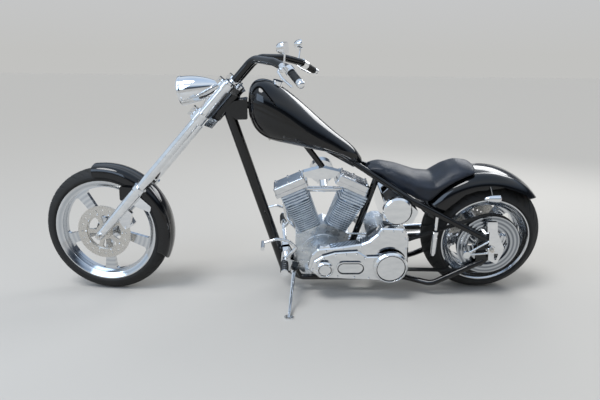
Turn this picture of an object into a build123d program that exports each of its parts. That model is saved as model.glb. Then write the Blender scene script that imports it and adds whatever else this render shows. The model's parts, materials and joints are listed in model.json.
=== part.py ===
from build123d import *
import os
from math import asin, atan2, cos, degrees, radians, sin, sqrt

# A long rigid-framed custom motorcycle with a raked front end, leaning on its side stand.
# It is drawn upright in millimetres: x runs back from the rear axle, y to the rider's right
# and z up from the ground. Pieces that steer are turned with the front end, and at the end
# the whole machine is leaned over and set down on its two tyres and its stand.

# Stance
WHEELBASE = 2066.0
RAKE = 40.8                 # steering head from the vertical, degrees
LEAN = 9.07                 # to the left, onto the stand, degrees
STEER_POSE = -10.67         # front wheel turned to the right, degrees
TREE_OFFSET = 45.4          # fork tubes ahead of the steering stem

# Fits
RUNNING = 0.05              # shaft in its bearing, on the radius
SEAT_GAP = 0.3              # curved or soft pieces that rest on each other

# Wheels and tyres
FRONT_TYRE_R = 346.0
FRONT_TYRE_HALF = 57.0
FRONT_BEAD_R = FRONT_TYRE_R - 79.0
FRONT_RIM_HALF = FRONT_TYRE_HALF - 7.0
REAR_TYRE_R = 328.0
REAR_TYRE_HALF = 125.0
REAR_BEAD_R = REAR_TYRE_R - 99.0
REAR_RIM_HALF = REAR_TYRE_HALF - 11.0
FLANGE_HEIGHT = 13.5
FLANGE_T = 6.0
SPOKES = 5
AXLE_R = 12.7

# Fork, trees and steering head, measured up the fork from the front axle
FORK_SPREAD = 110.0         # half the distance between the fork tubes
TUBE_R = 24.5
SLIDER_TOP = 360.0
SLIDER_FOOT = -26.0
LOWER_TREE = 832.0
LOWER_TREE_H = 52.0
LOWER_CLAMP_R = 40.0
UPPER_CLAMP_R = 35.0
HEAD_LONG = 162.0           # from the lower tree's top to the upper tree's foot
UPPER_TREE = LOWER_TREE + LOWER_TREE_H + HEAD_LONG
UPPER_TREE_H = 34.0
TUBE_TOP = UPPER_TREE + UPPER_TREE_H + 2
HEAD_R = 32.0
STEM_R = 12.7
HEAD_PLAY = 1.0

# Brakes
FRONT_DISC_R = 147.0
FRONT_DISC_Y = -66.0        # outer face of the front disc
DISC_T = 5.0
REAR_DISC_R = 146.0

# Frame
DOWNTUBE_R = 28.0
BACKBONE_R = 25.0
POST_R = 18.0
RAIL_R = 16.0
STAY_Y = 182.0
STAY_END = (-23.0, STAY_Y, REAR_TYRE_R + 44)
RAIL_END = (-20.0, STAY_Y, REAR_TYRE_R - 85)
STAY_START = (-728.0, 22.0, 742.0)
STAY_SPREAD = (-420.0, STAY_Y, 581.0)
RAIL_Z = 98.0
RAIL_Y = 104.0
POST_TOP = (-596.0, 0.0, 676.0)
POST_FOOT = (-763.0, 0.0, RAIL_Z)

# Engine
CRANK = (-886.0, 214.0)
FOOT = (CRANK[0] - 207, 0.0, RAIL_Z + 20)
VEE = 24.5                  # each cylinder from the vertical, degrees
CASE_R = 128.0
DECK = 178.0                # cylinder foot from the crank
HEAD_FOOT = 345.0
BOX_FOOT = 410.0
BOX_TOP = 468.0
CASE_HALF = 72.0
DRIVE_NOSE_R = 66.0         # boss between the crankcase and the primary case
# How far each rocker box sits behind its cylinder's line, front and rear
BOX_SHIFTS = (0.0, -34.0)

# Primary drive
PRIMARY_IN = -165.0
PRIMARY_OUT = -240.0
PRIMARY_STEP = -224.0        # outer face of the lower ledge
CLUTCH = (-538.0, 240.0)
CLUTCH_R = 91.0

# Final drive
PULLEY_R = 166.0
SMALL_PULLEY_R = 64.0
BELT_T = 8.0
BELT_IN = -131.0
BELT_OUT = -160.0
BELT_PLAY = 0.5

FRONT_AXLE = Vector(-WHEELBASE, 0, FRONT_TYRE_R)
REAR_AXLE = Vector(0, 0, REAR_TYRE_R)
FORK_UP = Vector(sin(radians(RAKE)), 0, cos(radians(RAKE)))
FORK_BACK = Vector(cos(radians(RAKE)), 0, -sin(radians(RAKE)))
FORK = Plane(origin=FRONT_AXLE, x_dir=FORK_BACK, z_dir=FORK_UP)
STEM_FOOT = FRONT_AXLE + FORK_BACK * TREE_OFFSET

FRAME, STEERS, FRONT_WHEEL, REAR_WHEEL, STAND = "frame", "steering", "front_wheel", "rear_wheel", "side_stand"
nodes = {}
bodies = {FRAME: [], STEERS: [], FRONT_WHEEL: [], REAR_WHEEL: [], STAND: []}


def keep(name, body, shape):
    """File a finished piece under its name and the body that carries it."""
    nodes[name] = Compound([*shape.solids()])
    bodies[body].append(name)


def pair(left, right):
    """Two like pieces that don't touch, in one shape."""
    return Compound([*left.solids(), *right.solids()])


def largest(shape):
    """The biggest solid of a shape, without the offcuts of a cut."""
    return max(shape.solids(), key=lambda solid: solid.volume)


def drum(x, z, y_from, y_to, radius):
    """A round disc or drum whose axis runs across the machine."""
    return Pos(x, (y_from + y_to) / 2, z) * Rot(X=90) * Cylinder(radius, abs(y_to - y_from))


def across(outline, y_from, y_to):
    """A side-view outline in x and z, carried across the machine."""
    low, high = sorted((y_from, y_to))
    return extrude(Plane.XZ.offset(-high) * outline, amount=high - low)


def spun(section, x=0.0, z=0.0, angle=360.0):
    """A section drawn as y and radius, spun about a cross axis through x and z."""
    return Pos(x, 0, z) * revolve(Plane.YZ * section, Axis.Y, angle)


def rod(start, end, radius, end_radius=None):
    """A straight round bar, tapered if its end has another radius."""
    start, end = Vector(*start), Vector(*end)
    span = end - start
    low = (Align.CENTER, Align.CENTER, Align.MIN)
    bar = Cylinder(radius, span.length, align=low)
    if end_radius is not None:
        bar = Cone(radius, end_radius, span.length, align=low)
    return Plane(origin=start, z_dir=span).location * bar


def bent(points, bends, radius):
    """A round tube of straight runs joined by tangent bends."""
    path = FilletPolyline(*points, radius=bends)
    return sweep(Plane(origin=path @ 0, z_dir=path % 0) * Circle(radius), path=path)


def mirrored(point, side):
    """The point on the left for side -1 and on the right for side 1."""
    return (point[0], point[1] * side, point[2])


def outline(points, rounding=0.0):
    """A flat side-view outline from corner points, its corners rounded."""
    face = make_face(Polyline(*points, close=True))
    return fillet(face.vertices(), rounding) if rounding else face


def fork_point(back, y, up):
    """A point given behind and up the fork line from the front axle."""
    place = FRONT_AXLE + FORK_BACK * back + FORK_UP * up
    return (place.X, y, place.Z)


def tyre_crown(half, drop):
    """Radius of the crown arc whose shoulders lie half out and drop below the crown."""
    return (half ** 2 + drop ** 2) / (2 * drop)


# Shoulder half width of each tyre's crown and how far it drops there
FRONT_SHOULDER, FRONT_DROP = FRONT_TYRE_HALF - 4, 38.0
REAR_SHOULDER, REAR_DROP = REAR_TYRE_HALF - 6, 64.0
FRONT_CROWN = tyre_crown(FRONT_SHOULDER, FRONT_DROP)
REAR_CROWN = tyre_crown(REAR_SHOULDER, REAR_DROP)


def tyre(radius, half, bead, rim_half, shoulder, drop):
    """Tyre section: round crown, bulged walls that close in over the rim's flanges."""
    flange = bead + FLANGE_HEIGHT + SEAT_GAP
    lip, foot = rim_half - 3, rim_half - FLANGE_T - SEAT_GAP
    wall = (radius - drop + flange) / 2
    crown = ThreePointArc((-shoulder, radius - drop), (0, radius), (shoulder, radius - drop))
    right = ThreePointArc((shoulder, radius - drop), (half, wall), (lip, flange))
    left = ThreePointArc((-lip, flange), (-half, wall), (-shoulder, radius - drop))
    seat = bead + SEAT_GAP
    inner = Polyline((lip, flange), (foot, flange), (foot, seat), (-foot, seat), (-foot, flange), (-lip, flange))
    return make_face([crown, right, *inner.edges(), left])


def rim_ring(bead, rim_half, well):
    """Rim section: a flange each side, bead seats, and a dished inner face down to the well."""
    tip = bead + FLANGE_HEIGHT
    foot = rim_half - FLANGE_T
    return make_face(Polyline(
        (-rim_half, tip), (-foot, tip - 3), (-foot, bead), (foot, bead), (foot, tip - 3), (rim_half, tip),
        (rim_half + 1, tip - 6), (rim_half * 0.72, well), (-rim_half * 0.72, well), (-rim_half - 1, tip - 6),
        close=True))


def spoke_window(inner, outer, waist, flare, rounding=16.0):
    """One opening between two spokes, narrow towards the hub and rounded at its corners."""
    half_step = 180 / SPOKES
    a_in = half_step - degrees(asin((waist / 2) / inner))
    a_out = half_step - degrees(asin((flare / 2) / outer))
    corners = [(r * cos(radians(a)), r * sin(radians(a)))
               for r, a in ((inner, -a_in), (outer, -a_out), (outer, a_out), (inner, a_in))]
    outer_arc = ThreePointArc(corners[1], (outer, 0), corners[2])
    inner_arc = ThreePointArc(corners[3], (inner, 0), corners[0])
    face = make_face([Line(corners[0], corners[1]), outer_arc, Line(corners[2], corners[3]), inner_arc])
    return fillet(face.vertices(), rounding)


def wheel(axle, bead, rim_half, well, hub_r, hub_in, hub_out, web):
    """A billet wheel: rim, cut-out spoke disc and hub in one piece."""
    ring = spun(rim_ring(bead, rim_half, well))
    disc = drum(0, 0, -web / 2, web / 2, well + 2)
    window = across(spoke_window(hub_r + 26, well - 12, 34, 62), -web, web)
    for step in range(SPOKES):
        disc -= Rot(Y=-(126 + step * 360 / SPOKES) - 36) * window
    hub = drum(0, 0, hub_in, hub_out, hub_r)
    body = ring + disc + hub - drum(0, 0, hub_in - 1, hub_out + 1, AXLE_R + RUNNING)
    return Pos(axle.X, 0, axle.Z) * body


def brake_disc(x, z, y_out, radius, inner, holes, thickness=DISC_T):
    """A drilled brake disc."""
    ring = drum(0, 0, y_out, y_out + thickness, radius) - drum(0, 0, y_out - 1, y_out + thickness + 1, inner)
    hole = Pos((radius + inner) / 2, y_out + thickness / 2, 0) * Rot(X=90) * Cylinder(5, thickness + 2)
    for step in range(holes):
        ring -= Rot(Y=step * 360 / holes) * hole
    return Pos(x, 0, z) * ring


# Front wheel
HUB_R = 38.0
front_hub_in, front_hub_out = FRONT_DISC_Y + DISC_T + 8, 62.0
keep("front_tyre", FRONT_WHEEL, spun(
    tyre(FRONT_TYRE_R, FRONT_TYRE_HALF, FRONT_BEAD_R, FRONT_RIM_HALF, FRONT_SHOULDER, FRONT_DROP),
    FRONT_AXLE.X, FRONT_AXLE.Z))
keep("front_rim", FRONT_WHEEL, wheel(
    FRONT_AXLE, FRONT_BEAD_R, FRONT_RIM_HALF, FRONT_BEAD_R - 17, HUB_R, front_hub_in, front_hub_out, 24.0))
CARRIER_R = 106.0
front_carrier = drum(0, 0, FRONT_DISC_Y + DISC_T, front_hub_in, CARRIER_R)
front_carrier += drum(0, 0, FRONT_DISC_Y - 6, FRONT_DISC_Y + DISC_T, HUB_R)
front_carrier -= drum(0, 0, FRONT_DISC_Y - 7, front_hub_in + 1, AXLE_R + RUNNING)
carrier_window = across(spoke_window(HUB_R + 6, CARRIER_R - 14, 20, 26, 10), FRONT_DISC_Y, front_hub_in + 1)
for step in range(SPOKES):
    front_carrier -= Rot(Y=-step * 360 / SPOKES) * carrier_window
front_carrier = Pos(FRONT_AXLE.X, 0, FRONT_AXLE.Z) * front_carrier
front_disc = brake_disc(FRONT_AXLE.X, FRONT_AXLE.Z, FRONT_DISC_Y, FRONT_DISC_R, CARRIER_R - 8, 20)
keep("front_brake_disc", FRONT_WHEEL, front_disc + front_carrier)

# Rear wheel
REAR_HUB_R = 46.0
rear_hub_in, rear_hub_out = BELT_IN + 2, 128.0
keep("rear_tyre", REAR_WHEEL, spun(
    tyre(REAR_TYRE_R, REAR_TYRE_HALF, REAR_BEAD_R, REAR_RIM_HALF, REAR_SHOULDER, REAR_DROP), 0, REAR_AXLE.Z))
keep("rear_rim", REAR_WHEEL, wheel(
    REAR_AXLE, REAR_BEAD_R, REAR_RIM_HALF, REAR_BEAD_R - 29, REAR_HUB_R, rear_hub_in, rear_hub_out, 40.0))
pulley = spun(make_face(Polyline(
    (BELT_OUT, PULLEY_R), (BELT_OUT - 3, PULLEY_R + 4), (BELT_OUT - 5, PULLEY_R + 4), (BELT_OUT - 5, 118),
    (BELT_IN, 118), (BELT_IN, PULLEY_R), close=True)))
pulley += drum(0, 0, BELT_OUT + 8, BELT_OUT + 20, 120)
pulley_window = across(spoke_window(62, 108, 24, 30), BELT_OUT, BELT_IN)
for step in range(SPOKES):
    pulley -= Rot(Y=-step * 360 / SPOKES - 18) * pulley_window
pulley += drum(0, 0, BELT_OUT - 3, rear_hub_in, 50)
pulley -= drum(0, 0, BELT_OUT - 6, BELT_IN + 6, AXLE_R + RUNNING)
keep("rear_pulley", REAR_WHEEL, Pos(0, 0, REAR_AXLE.Z) * pulley)
rear_disc_y = rear_hub_out
rear_disc = brake_disc(0, REAR_AXLE.Z, rear_disc_y, REAR_DISC_R, AXLE_R + RUNNING, 20)
keep("rear_brake_disc", REAR_WHEEL, rear_disc)

# Axles
front_axle_half = FORK_SPREAD + 28
FRONT_STUB_R, FRONT_STUB = 9.0, 12.0
front_stub_end = front_axle_half + FRONT_STUB
front_axle = drum(FRONT_AXLE.X, FRONT_AXLE.Z, -front_axle_half, front_axle_half, AXLE_R)
front_axle += drum(FRONT_AXLE.X, FRONT_AXLE.Z, -front_stub_end, front_stub_end, FRONT_STUB_R)
keep("front_axle", STEERS, front_axle)

# Fork
FORK_LOW = (Align.CENTER, Align.CENTER, Align.MIN)
tubes, sliders = [], []
for side in (-1, 1):
    tube = FORK.location * Pos(0, side * FORK_SPREAD, 190) * Cylinder(TUBE_R, TUBE_TOP - 190, align=FORK_LOW)
    cap = FORK.location * Pos(0, side * FORK_SPREAD, TUBE_TOP) * Cylinder(TUBE_R - 3, 9, align=FORK_LOW)
    tubes.append(tube + cap)
    profile = make_face(Polyline(
        (0, SLIDER_FOOT), (17, SLIDER_FOOT), (21, SLIDER_FOOT + 8), (22, 30), (31, SLIDER_TOP - 30),
        (34, SLIDER_TOP - 24), (34, SLIDER_TOP), (TUBE_R, SLIDER_TOP), (TUBE_R, 190), (0, 190), close=True))
    slider = FORK.location * Pos(0, side * FORK_SPREAD, 0) * revolve(Plane.XZ * profile, Axis.Z)
    slider -= drum(FRONT_AXLE.X, FRONT_AXLE.Z, -front_axle_half - 1, front_axle_half + 1, AXLE_R)
    sliders.append(slider)
keep("fork_tubes", STEERS, pair(*tubes))
keep("fork_sliders", STEERS, pair(*sliders))


def tree(low, height, nose, clamp):
    """A triple clamp: two tube clamps with pinch noses, joined by a waisted bridge round the stem."""
    bridge = make_face(Polyline(
        (-nose, -60), (-nose, 60), (-8, FORK_SPREAD), (22, FORK_SPREAD), (TREE_OFFSET + 30, 34),
        (TREE_OFFSET + 30, -34), (22, -FORK_SPREAD), (-8, -FORK_SPREAD), close=True))
    body = extrude(bridge, amount=height)
    for y in (-FORK_SPREAD, FORK_SPREAD):
        body += Pos(0, y, 0) * Cylinder(clamp, height, align=FORK_LOW)
        body += Pos(-clamp, y, 0) * Box(34, 26, height, align=FORK_LOW)
    for y in (-FORK_SPREAD, FORK_SPREAD):
        body -= Pos(0, y, -1) * Cylinder(TUBE_R, height + 2, align=FORK_LOW)
    return FORK.location * Pos(0, 0, low) * body


stem = FORK.location * Pos(TREE_OFFSET, 0, LOWER_TREE) * Cylinder(
    STEM_R, UPPER_TREE + UPPER_TREE_H - LOWER_TREE, align=FORK_LOW)
lower_tree = tree(LOWER_TREE, LOWER_TREE_H, 34, LOWER_CLAMP_R) + stem
stem_cut = FORK.location * Pos(TREE_OFFSET, 0, LOWER_TREE) * Cylinder(
    STEM_R, UPPER_TREE + UPPER_TREE_H - LOWER_TREE + 1, align=FORK_LOW)
stem_nut = FORK.location * Pos(TREE_OFFSET, 0, UPPER_TREE + UPPER_TREE_H) * Cylinder(19, 12, align=FORK_LOW)
keep("upper_fork_tree", STEERS, tree(UPPER_TREE, UPPER_TREE_H, 22, UPPER_CLAMP_R) - stem_cut + stem_nut)

# Headlamp: a teardrop shell that points back between the fork tubes
LAMP_R = 73.0
LAMP_TIP_R = 6.0
lamp_root = Vector(*fork_point(0, 0, LOWER_TREE + LOWER_TREE_H))
lamp_face = lamp_root + Vector(-140.6, 0, 91.8)
lamp_axis = Vector(214, 0, 39)
lamp_place = Plane(origin=lamp_face, x_dir=(0, 1, 0), z_dir=lamp_axis).location
lamp_long = lamp_axis.length
lamp_section = make_face([
    Line((0, 14), (LAMP_R - 5, 14)), Line((LAMP_R - 5, 14), (LAMP_R - 5, 0)), Line((LAMP_R - 5, 0), (LAMP_R, 0)),
    Line((LAMP_R, 0), (LAMP_R, 10)),
    ThreePointArc((LAMP_R, 10), (LAMP_R * 0.7, lamp_long * 0.6), (LAMP_TIP_R, lamp_long)),
    Line((LAMP_TIP_R, lamp_long), (0, lamp_long)), Line((0, lamp_long), (0, 14))])
lamp_shell = lamp_place * revolve(Plane.XZ * lamp_section, Axis.Z)
keep("headlamp_shell", STEERS, lamp_shell)
lens_section = make_face([
    ThreePointArc((0, -6), ((LAMP_R - 6) * 0.6, -3), (LAMP_R - 5 - SEAT_GAP, 2)),
    Line((LAMP_R - 5 - SEAT_GAP, 2), (LAMP_R - 5 - SEAT_GAP, 13.9)),
    Line((LAMP_R - 5 - SEAT_GAP, 13.9), (0, 13.9)), Line((0, 13.9), (0, -6))])
keep("headlamp_lens", STEERS, lamp_place * revolve(Plane.XZ * lens_section, Axis.Z))
lamp_post = rod(fork_point(-24, 0, LOWER_TREE + LOWER_TREE_H - 10), fork_point(-46, 0, LOWER_TREE + 110), 11)
keep("lower_fork_tree", STEERS, lower_tree + (lamp_post - lamp_shell))

# Handlebar, grips and hand controls
BAR_R = 19.0
BAR_END_R = 12.7
BAR_ROOT_Y = 52.0
GRIP_R = 17.0
bar_root = fork_point(8, BAR_ROOT_Y, UPPER_TREE + UPPER_TREE_H)
bar_rise = tuple(Vector(*bar_root) + Vector(106, 10, 122))
bar_turn = tuple(Vector(*bar_root) + Vector(224, 144, 118))
grip_start = Vector(*bar_root) + Vector(326, 264, 77)
grip_way = Vector(57, 102, -45).normalized()
bar_step = tuple(grip_start - grip_way * 44)


def along_grip(side, out, ahead=0.0, up=0.0):
    """A point measured out along a grip from its root, ahead of it and above it."""
    place = grip_start + grip_way * out + Vector(-ahead, 0, up)
    return mirrored(tuple(place), side)


grips, controls, mirrors = [], [], []
for side, word in ((-1, "left"), (1, "right")):
    points = [mirrored(p, side) for p in (bar_root, bar_rise, bar_turn, bar_step)]
    bar = bent(points, [70, 90], BAR_R) - nodes["upper_fork_tree"]
    bar_end = rod(mirrored(bar_step, side), along_grip(side, 122), BAR_END_R)
    keep(f"handlebar_{word}", STEERS, bar + bar_end)
    grip = rod(along_grip(side, 6), along_grip(side, 118), GRIP_R) - bar_end
    grips.append(grip)
    housing = rod(along_grip(side, -38), along_grip(side, 4), 23)
    perch = rod(along_grip(side, -24), along_grip(side, -24, 48, 4), 11)
    lever = bent([along_grip(side, -24, 48, 4), along_grip(side, 0, 62, 4), along_grip(side, 60, 62, 0),
                  along_grip(side, 132, 44, -4)], [20, 60], 5.5)
    tank_cup = rod(along_grip(side, -44, 30, 12), along_grip(side, -4, 30, 12), 15)
    control = housing + perch + tank_cup + lever - bar_end - bar
    controls.append(control)
    foot = along_grip(side, -14, 30, 24)
    top = along_grip(side, 24, 40, 118)
    stem_bar = rod(foot, top, 4)
    head = Box(9, 92, 52)
    head = Pos(*top) * Rot(0, 0, side * 8) * Rot(Y=-8) * fillet(head.edges().filter_by(Axis.X), 20)
    mirrors.append(head + (stem_bar - control))
keep("grips", STEERS, pair(*grips))
keep("hand_controls", STEERS, pair(*controls))
keep("mirrors", STEERS, pair(*mirrors))

# Front fender: a shell round the tyre with a tab on each slider and a bright strap below it
FENDER_R = FRONT_TYRE_R + 22
FENDER_HALF = FRONT_TYRE_HALF + 13
FENDER_T = 4.0
FENDER_TOP = 98.0           # where it starts, degrees above the rearward level
FENDER_SWEEP = 122.0


def fender_section(half, radius, skirt, shoulder, crown, sheet):
    """A fender's section: crowned top, quarter-round shoulders and straight skirts."""
    def shell(inset):
        h, r, s = half - inset, radius - inset, shoulder - inset
        flat, bulge = h - s, s * (1 - sqrt(0.5))
        edge = r - crown
        return make_face([
            Line((-h, skirt), (-h, edge - s)), ThreePointArc((-h, edge - s), (-h + bulge, edge - bulge), (-flat, edge)),
            ThreePointArc((-flat, edge), (0, r), (flat, edge)),
            ThreePointArc((flat, edge), (h - bulge, edge - bulge), (h, edge - s)), Line((h, edge - s), (h, skirt)),
            Line((h, skirt), (-h, skirt))])
    return shell(0) - shell(sheet) - Pos(0, skirt) * Rectangle(2 * (half - sheet), 4)


def tail_cut(angle, radius, half, bow):
    """What is cut off a fender about the origin to leave its tail bowed out by bow past an angle."""
    cut = Pos(200, 0, radius) * Box(400, 2 * half + 20, 200)
    keep_r = (half ** 2 + bow ** 2) / (2 * bow)
    cut -= Pos(bow - keep_r, 0, radius) * Cylinder(keep_r, 210)
    return Rot(Y=90 - angle) * cut


def by_front_axle(points):
    """Side-view points given back from and above the front axle."""
    return [(FRONT_AXLE.X + x, FRONT_AXLE.Z + z) for x, z in points]


def in_fender(points):
    """Side-view points given as an angle round the front axle and a depth below the fender's crown."""
    return by_front_axle([((FENDER_R - depth) * cos(radians(angle)), (FENDER_R - depth) * sin(radians(angle)))
                          for angle, depth in points])


front_arc = spun(fender_section(FENDER_HALF, FENDER_R, FENDER_R - 64, 36.0, 5.0, FENDER_T), angle=FENDER_SWEEP)
front_fender = Rot(Y=90 - FENDER_TOP) * front_arc
front_fender -= tail_cut(FENDER_TOP - FENDER_SWEEP + 6, FENDER_R, FENDER_HALF, 38.0)
front_fender = Pos(FRONT_AXLE.X, 0, FRONT_AXLE.Z) * front_fender
fender_tab = outline(in_fender([(67.2, 79.4), (54.0, 44.4), (45.9, 97.9), (59.7, 148)]), 10)
strap_outline = outline(in_fender(
    [(55.9, 143.3), (56.2, 98.4), (48.3, 70.5), (30.1, 53.4), (25.4, 73.7), (36.9, 118)]), 10)
strap_boss = in_fender([(50.8, 115)])[0]
straps = []
for side in (-1, 1):
    tab = across(fender_tab, side * (FENDER_HALF - 2), side * (FORK_SPREAD - 18))
    front_fender += largest(tab - nodes["fork_sliders"] - nodes["fork_tubes"])
    strap = across(strap_outline, side * FENDER_HALF, side * (FENDER_HALF + 5))
    strap += drum(*strap_boss, side * FENDER_HALF, side * (FORK_SPREAD - 10), 13)
    straps.append(strap)
keep("front_fender", STEERS, front_fender)
straps = [largest(strap - nodes["fork_sliders"] - nodes["fork_tubes"] - nodes["front_fender"]) for strap in straps]
keep("fender_straps", STEERS, pair(*straps))

# Front caliper
CALIPER_ANGLE = 30.0
caliper_x = FRONT_AXLE.X + 150 * cos(radians(CALIPER_ANGLE))
caliper_z = FRONT_AXLE.Z + 150 * sin(radians(CALIPER_ANGLE))
caliper = Box(62, 40, 84)
caliper = fillet(caliper.edges().filter_by(Axis.Y), 8)
caliper = Pos(caliper_x, FRONT_DISC_Y + DISC_T / 2, caliper_z) * Rot(Y=-CALIPER_ANGLE) * caliper
caliper -= drum(FRONT_AXLE.X, FRONT_AXLE.Z, FRONT_DISC_Y - 2, FRONT_DISC_Y + DISC_T + 2, FRONT_DISC_R + 6)
lug_outline = outline(by_front_axle([(98, 114), (141, 154), (176, 124), (161, 54), (116, 64)]), 6)
caliper_lug = across(lug_outline, FRONT_DISC_Y - 12, FRONT_DISC_Y - 36)
caliper += largest(caliper_lug - nodes["fork_sliders"] - nodes["fork_tubes"])
keep("front_caliper", STEERS, caliper)

# Frame: steering head, downtube, backbone, seat post, rails and stays
head_low = LOWER_TREE + LOWER_TREE_H + HEAD_PLAY
head_high = UPPER_TREE - HEAD_PLAY
head_tube = FORK.location * Pos(TREE_OFFSET, 0, head_low) * Cylinder(HEAD_R, head_high - head_low, align=FORK_LOW)
head_tube -= FORK.location * Pos(TREE_OFFSET, 0, head_low - 1) * Cylinder(
    STEM_R + RUNNING, head_high - head_low + 2, align=FORK_LOW)
HEAD = Vector(*fork_point(TREE_OFFSET, 0, (LOWER_TREE + UPPER_TREE + UPPER_TREE_H) / 2))
GUSSET_HALF = 30.0
GUSSET = ((50, 32), (118, 42), (118, -62), (60, -64), (-5, -14))
gusset = across(outline([(HEAD.X + x, HEAD.Z + z) for x, z in GUSSET], 8), -GUSSET_HALF, GUSSET_HALF)
head_solid = FORK.location * Pos(TREE_OFFSET, 0, head_low - 1) * Cylinder(HEAD_R, head_high - head_low + 2,
                                                                            align=FORK_LOW)
keep("steering_head", FRAME, head_tube + (gusset - head_solid))
downtube_slope = (HEAD.X + 14 - FOOT[0]) / (HEAD.Z - FOOT[2])
downtube_top = (HEAD.X + 14, 0, HEAD.Z)
downtube = rod((FOOT[0], 0, FOOT[2] - 20), downtube_top, DOWNTUBE_R) - nodes["steering_head"] - head_solid
downtube = largest(downtube)
keep("downtube", FRAME, downtube)
BACKBONE_TOP, BACKBONE_END = (HEAD.X + 118, 0.0, HEAD.Z + 17), (-722.0, 0.0, 736.0)


def backbone_z(x):
    """Height of the backbone's centre line at x."""
    share = (x - BACKBONE_TOP[0]) / (BACKBONE_END[0] - BACKBONE_TOP[0])
    return BACKBONE_TOP[2] + share * (BACKBONE_END[2] - BACKBONE_TOP[2])


backbone = rod(BACKBONE_TOP, BACKBONE_END, BACKBONE_R) - nodes["steering_head"]
MOUNT_TOP = (CRANK[0] - 12, CRANK[1] + 500)
MOUNT = ((-116, 450), (-116, 474), (-14, 502), (90, 476), (90, 452), (-14, 432))
top_mount = across(outline([(CRANK[0] + x, CRANK[1] + z) for x, z in MOUNT], 6), -22, 22)
brace_x = MOUNT_TOP[0] - 160
backbone += rod((brace_x, 0, backbone_z(brace_x)), (MOUNT_TOP[0], 0, MOUNT_TOP[1]), 16)
keep("backbone", FRAME, backbone - top_mount)
post = rod(POST_TOP, POST_FOOT, POST_R)
cross_tube = rod((POST_FOOT[0], -RAIL_Y, RAIL_Z), (POST_FOOT[0], RAIL_Y, RAIL_Z), RAIL_R)
rails, stays = {}, {}
for side, word in ((-1, "left"), (1, "right")):
    start = (FOOT[0] + 4, side * 20, FOOT[2] - 8)
    points = [start, (-1005, side * RAIL_Y, RAIL_Z), (-430, side * RAIL_Y, RAIL_Z), (-290, side * 180, RAIL_Z),
              mirrored(RAIL_END, side)]
    rails[side] = bent(points, [60, 110, 90], RAIL_R) - downtube
    stay_points = [mirrored(p, side) for p in (STAY_START, STAY_SPREAD, STAY_END)]
    stays[side] = bent(stay_points, [120], RAIL_R) - backbone
stay_share = (POST_TOP[0] - STAY_START[0]) / (STAY_SPREAD[0] - STAY_START[0])
top_y = STAY_START[1] + stay_share * (STAY_SPREAD[1] - STAY_START[1])
top_tube = rod((POST_TOP[0], -top_y, POST_TOP[2] - 3), (POST_TOP[0], top_y, POST_TOP[2] - 3), 14)
keep("seat_post", FRAME, post + largest(cross_tube - rails[-1] - rails[1]) + largest(top_tube - stays[-1] - stays[1]))

# Axle plates, rear axle and the bright bracket on its left end
PLATE_IN, PLATE_OUT = 172.0, 190.0
AXLE_Z = REAR_TYRE_R


def by_rear_axle(points):
    """Side-view points given back from and above the rear axle."""
    return [(x, AXLE_Z + z) for x, z in points]


plate_outline = by_rear_axle([(-66, 64), (-30, 70), (42, 24), (46, -24), (-28, -114), (-66, -114)])
BRACKET_IN, BRACKET_OUT = 200.0, 211.0
rear_axle_half = BRACKET_OUT + 12
REAR_STUB_R, REAR_STUB = 10.0, 14.0
rear_stub_end = rear_axle_half + REAR_STUB
rear_axle = drum(0, AXLE_Z, -rear_axle_half, rear_axle_half, AXLE_R)
rear_axle += drum(0, AXLE_Z, -rear_stub_end, rear_stub_end, REAR_STUB_R)
keep("rear_axle", FRAME, rear_axle)
for side, word in ((-1, "left"), (1, "right")):
    plate = across(outline(plate_outline, 12), side * PLATE_IN, side * PLATE_OUT)
    rails[side] += plate - rear_axle
    keep(f"upper_stay_{word}", FRAME, stays[side] - rails[side])
bracket_outline = by_rear_axle([(-24, 122), (10, 118), (70, 6), (66, -28), (42, -92), (-6, -66)])
bracket = across(outline(bracket_outline, 6), -BRACKET_IN, -BRACKET_OUT)
bracket_slot = by_rear_axle([(20, -28), (44, -28), (38, -66), (26, -66)])
bracket -= across(outline(bracket_slot, 4), -BRACKET_IN + 1, -BRACKET_OUT - 1)
bracket += drum(0, AXLE_Z, -PLATE_OUT, -BRACKET_IN, 24)
arm_y = -(BRACKET_IN + BRACKET_OUT) / 2
BOSS = (-126.0, AXLE_Z - 35)
boss = drum(*BOSS, -BRACKET_IN, -BRACKET_OUT - 4, 20)
arms = rod((BOSS[0], arm_y, BOSS[1] + 3), (-14, arm_y, AXLE_Z + 44), 5.5)
arms += rod((BOSS[0], arm_y, BOSS[1] - 3), (-10, arm_y, AXLE_Z - 28), 5.5)
block_outline = by_rear_axle([(-43, 161), (10, 161), (19, 103), (-35, 103)])
bracket_block = across(outline(block_outline, 5), -BRACKET_IN, -BRACKET_OUT - 6)
keep("axle_bracket", FRAME, bracket + boss + arms + bracket_block - rear_axle)

# Final drive belt and its small pulley
def belt_loop(extra):
    """The belt's outline round both pulleys, at a distance outside their radii."""
    big, small = PULLEY_R + BELT_PLAY + extra, SMALL_PULLEY_R + BELT_PLAY + extra
    dx, dz = CLUTCH[0], CLUTCH[1] - REAR_AXLE.Z
    span = sqrt(dx * dx + dz * dz)
    line = atan2(dz, dx)
    tilt = asin((big - small) / span)
    top, low = line - radians(90) + tilt, line + radians(90) - tilt
    def rim(cx, cz, r, a):
        return (cx + r * cos(a), cz + r * sin(a))
    far, near = (0, REAR_AXLE.Z), CLUTCH
    edges = [
        ThreePointArc(rim(*far, big, top), rim(*far, big, line + radians(180)), rim(*far, big, low)),
        Line(rim(*far, big, low), rim(*near, small, low)),
        ThreePointArc(rim(*near, small, low), rim(*near, small, line), rim(*near, small, top)),
        Line(rim(*near, small, top), rim(*far, big, top))]
    return make_face(edges)


keep("drive_belt", FRAME, across(belt_loop(BELT_T) - belt_loop(0), BELT_IN, BELT_OUT))
small_pulley = drum(*CLUTCH, BELT_IN + 2, BELT_OUT - 3, SMALL_PULLEY_R)

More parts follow.
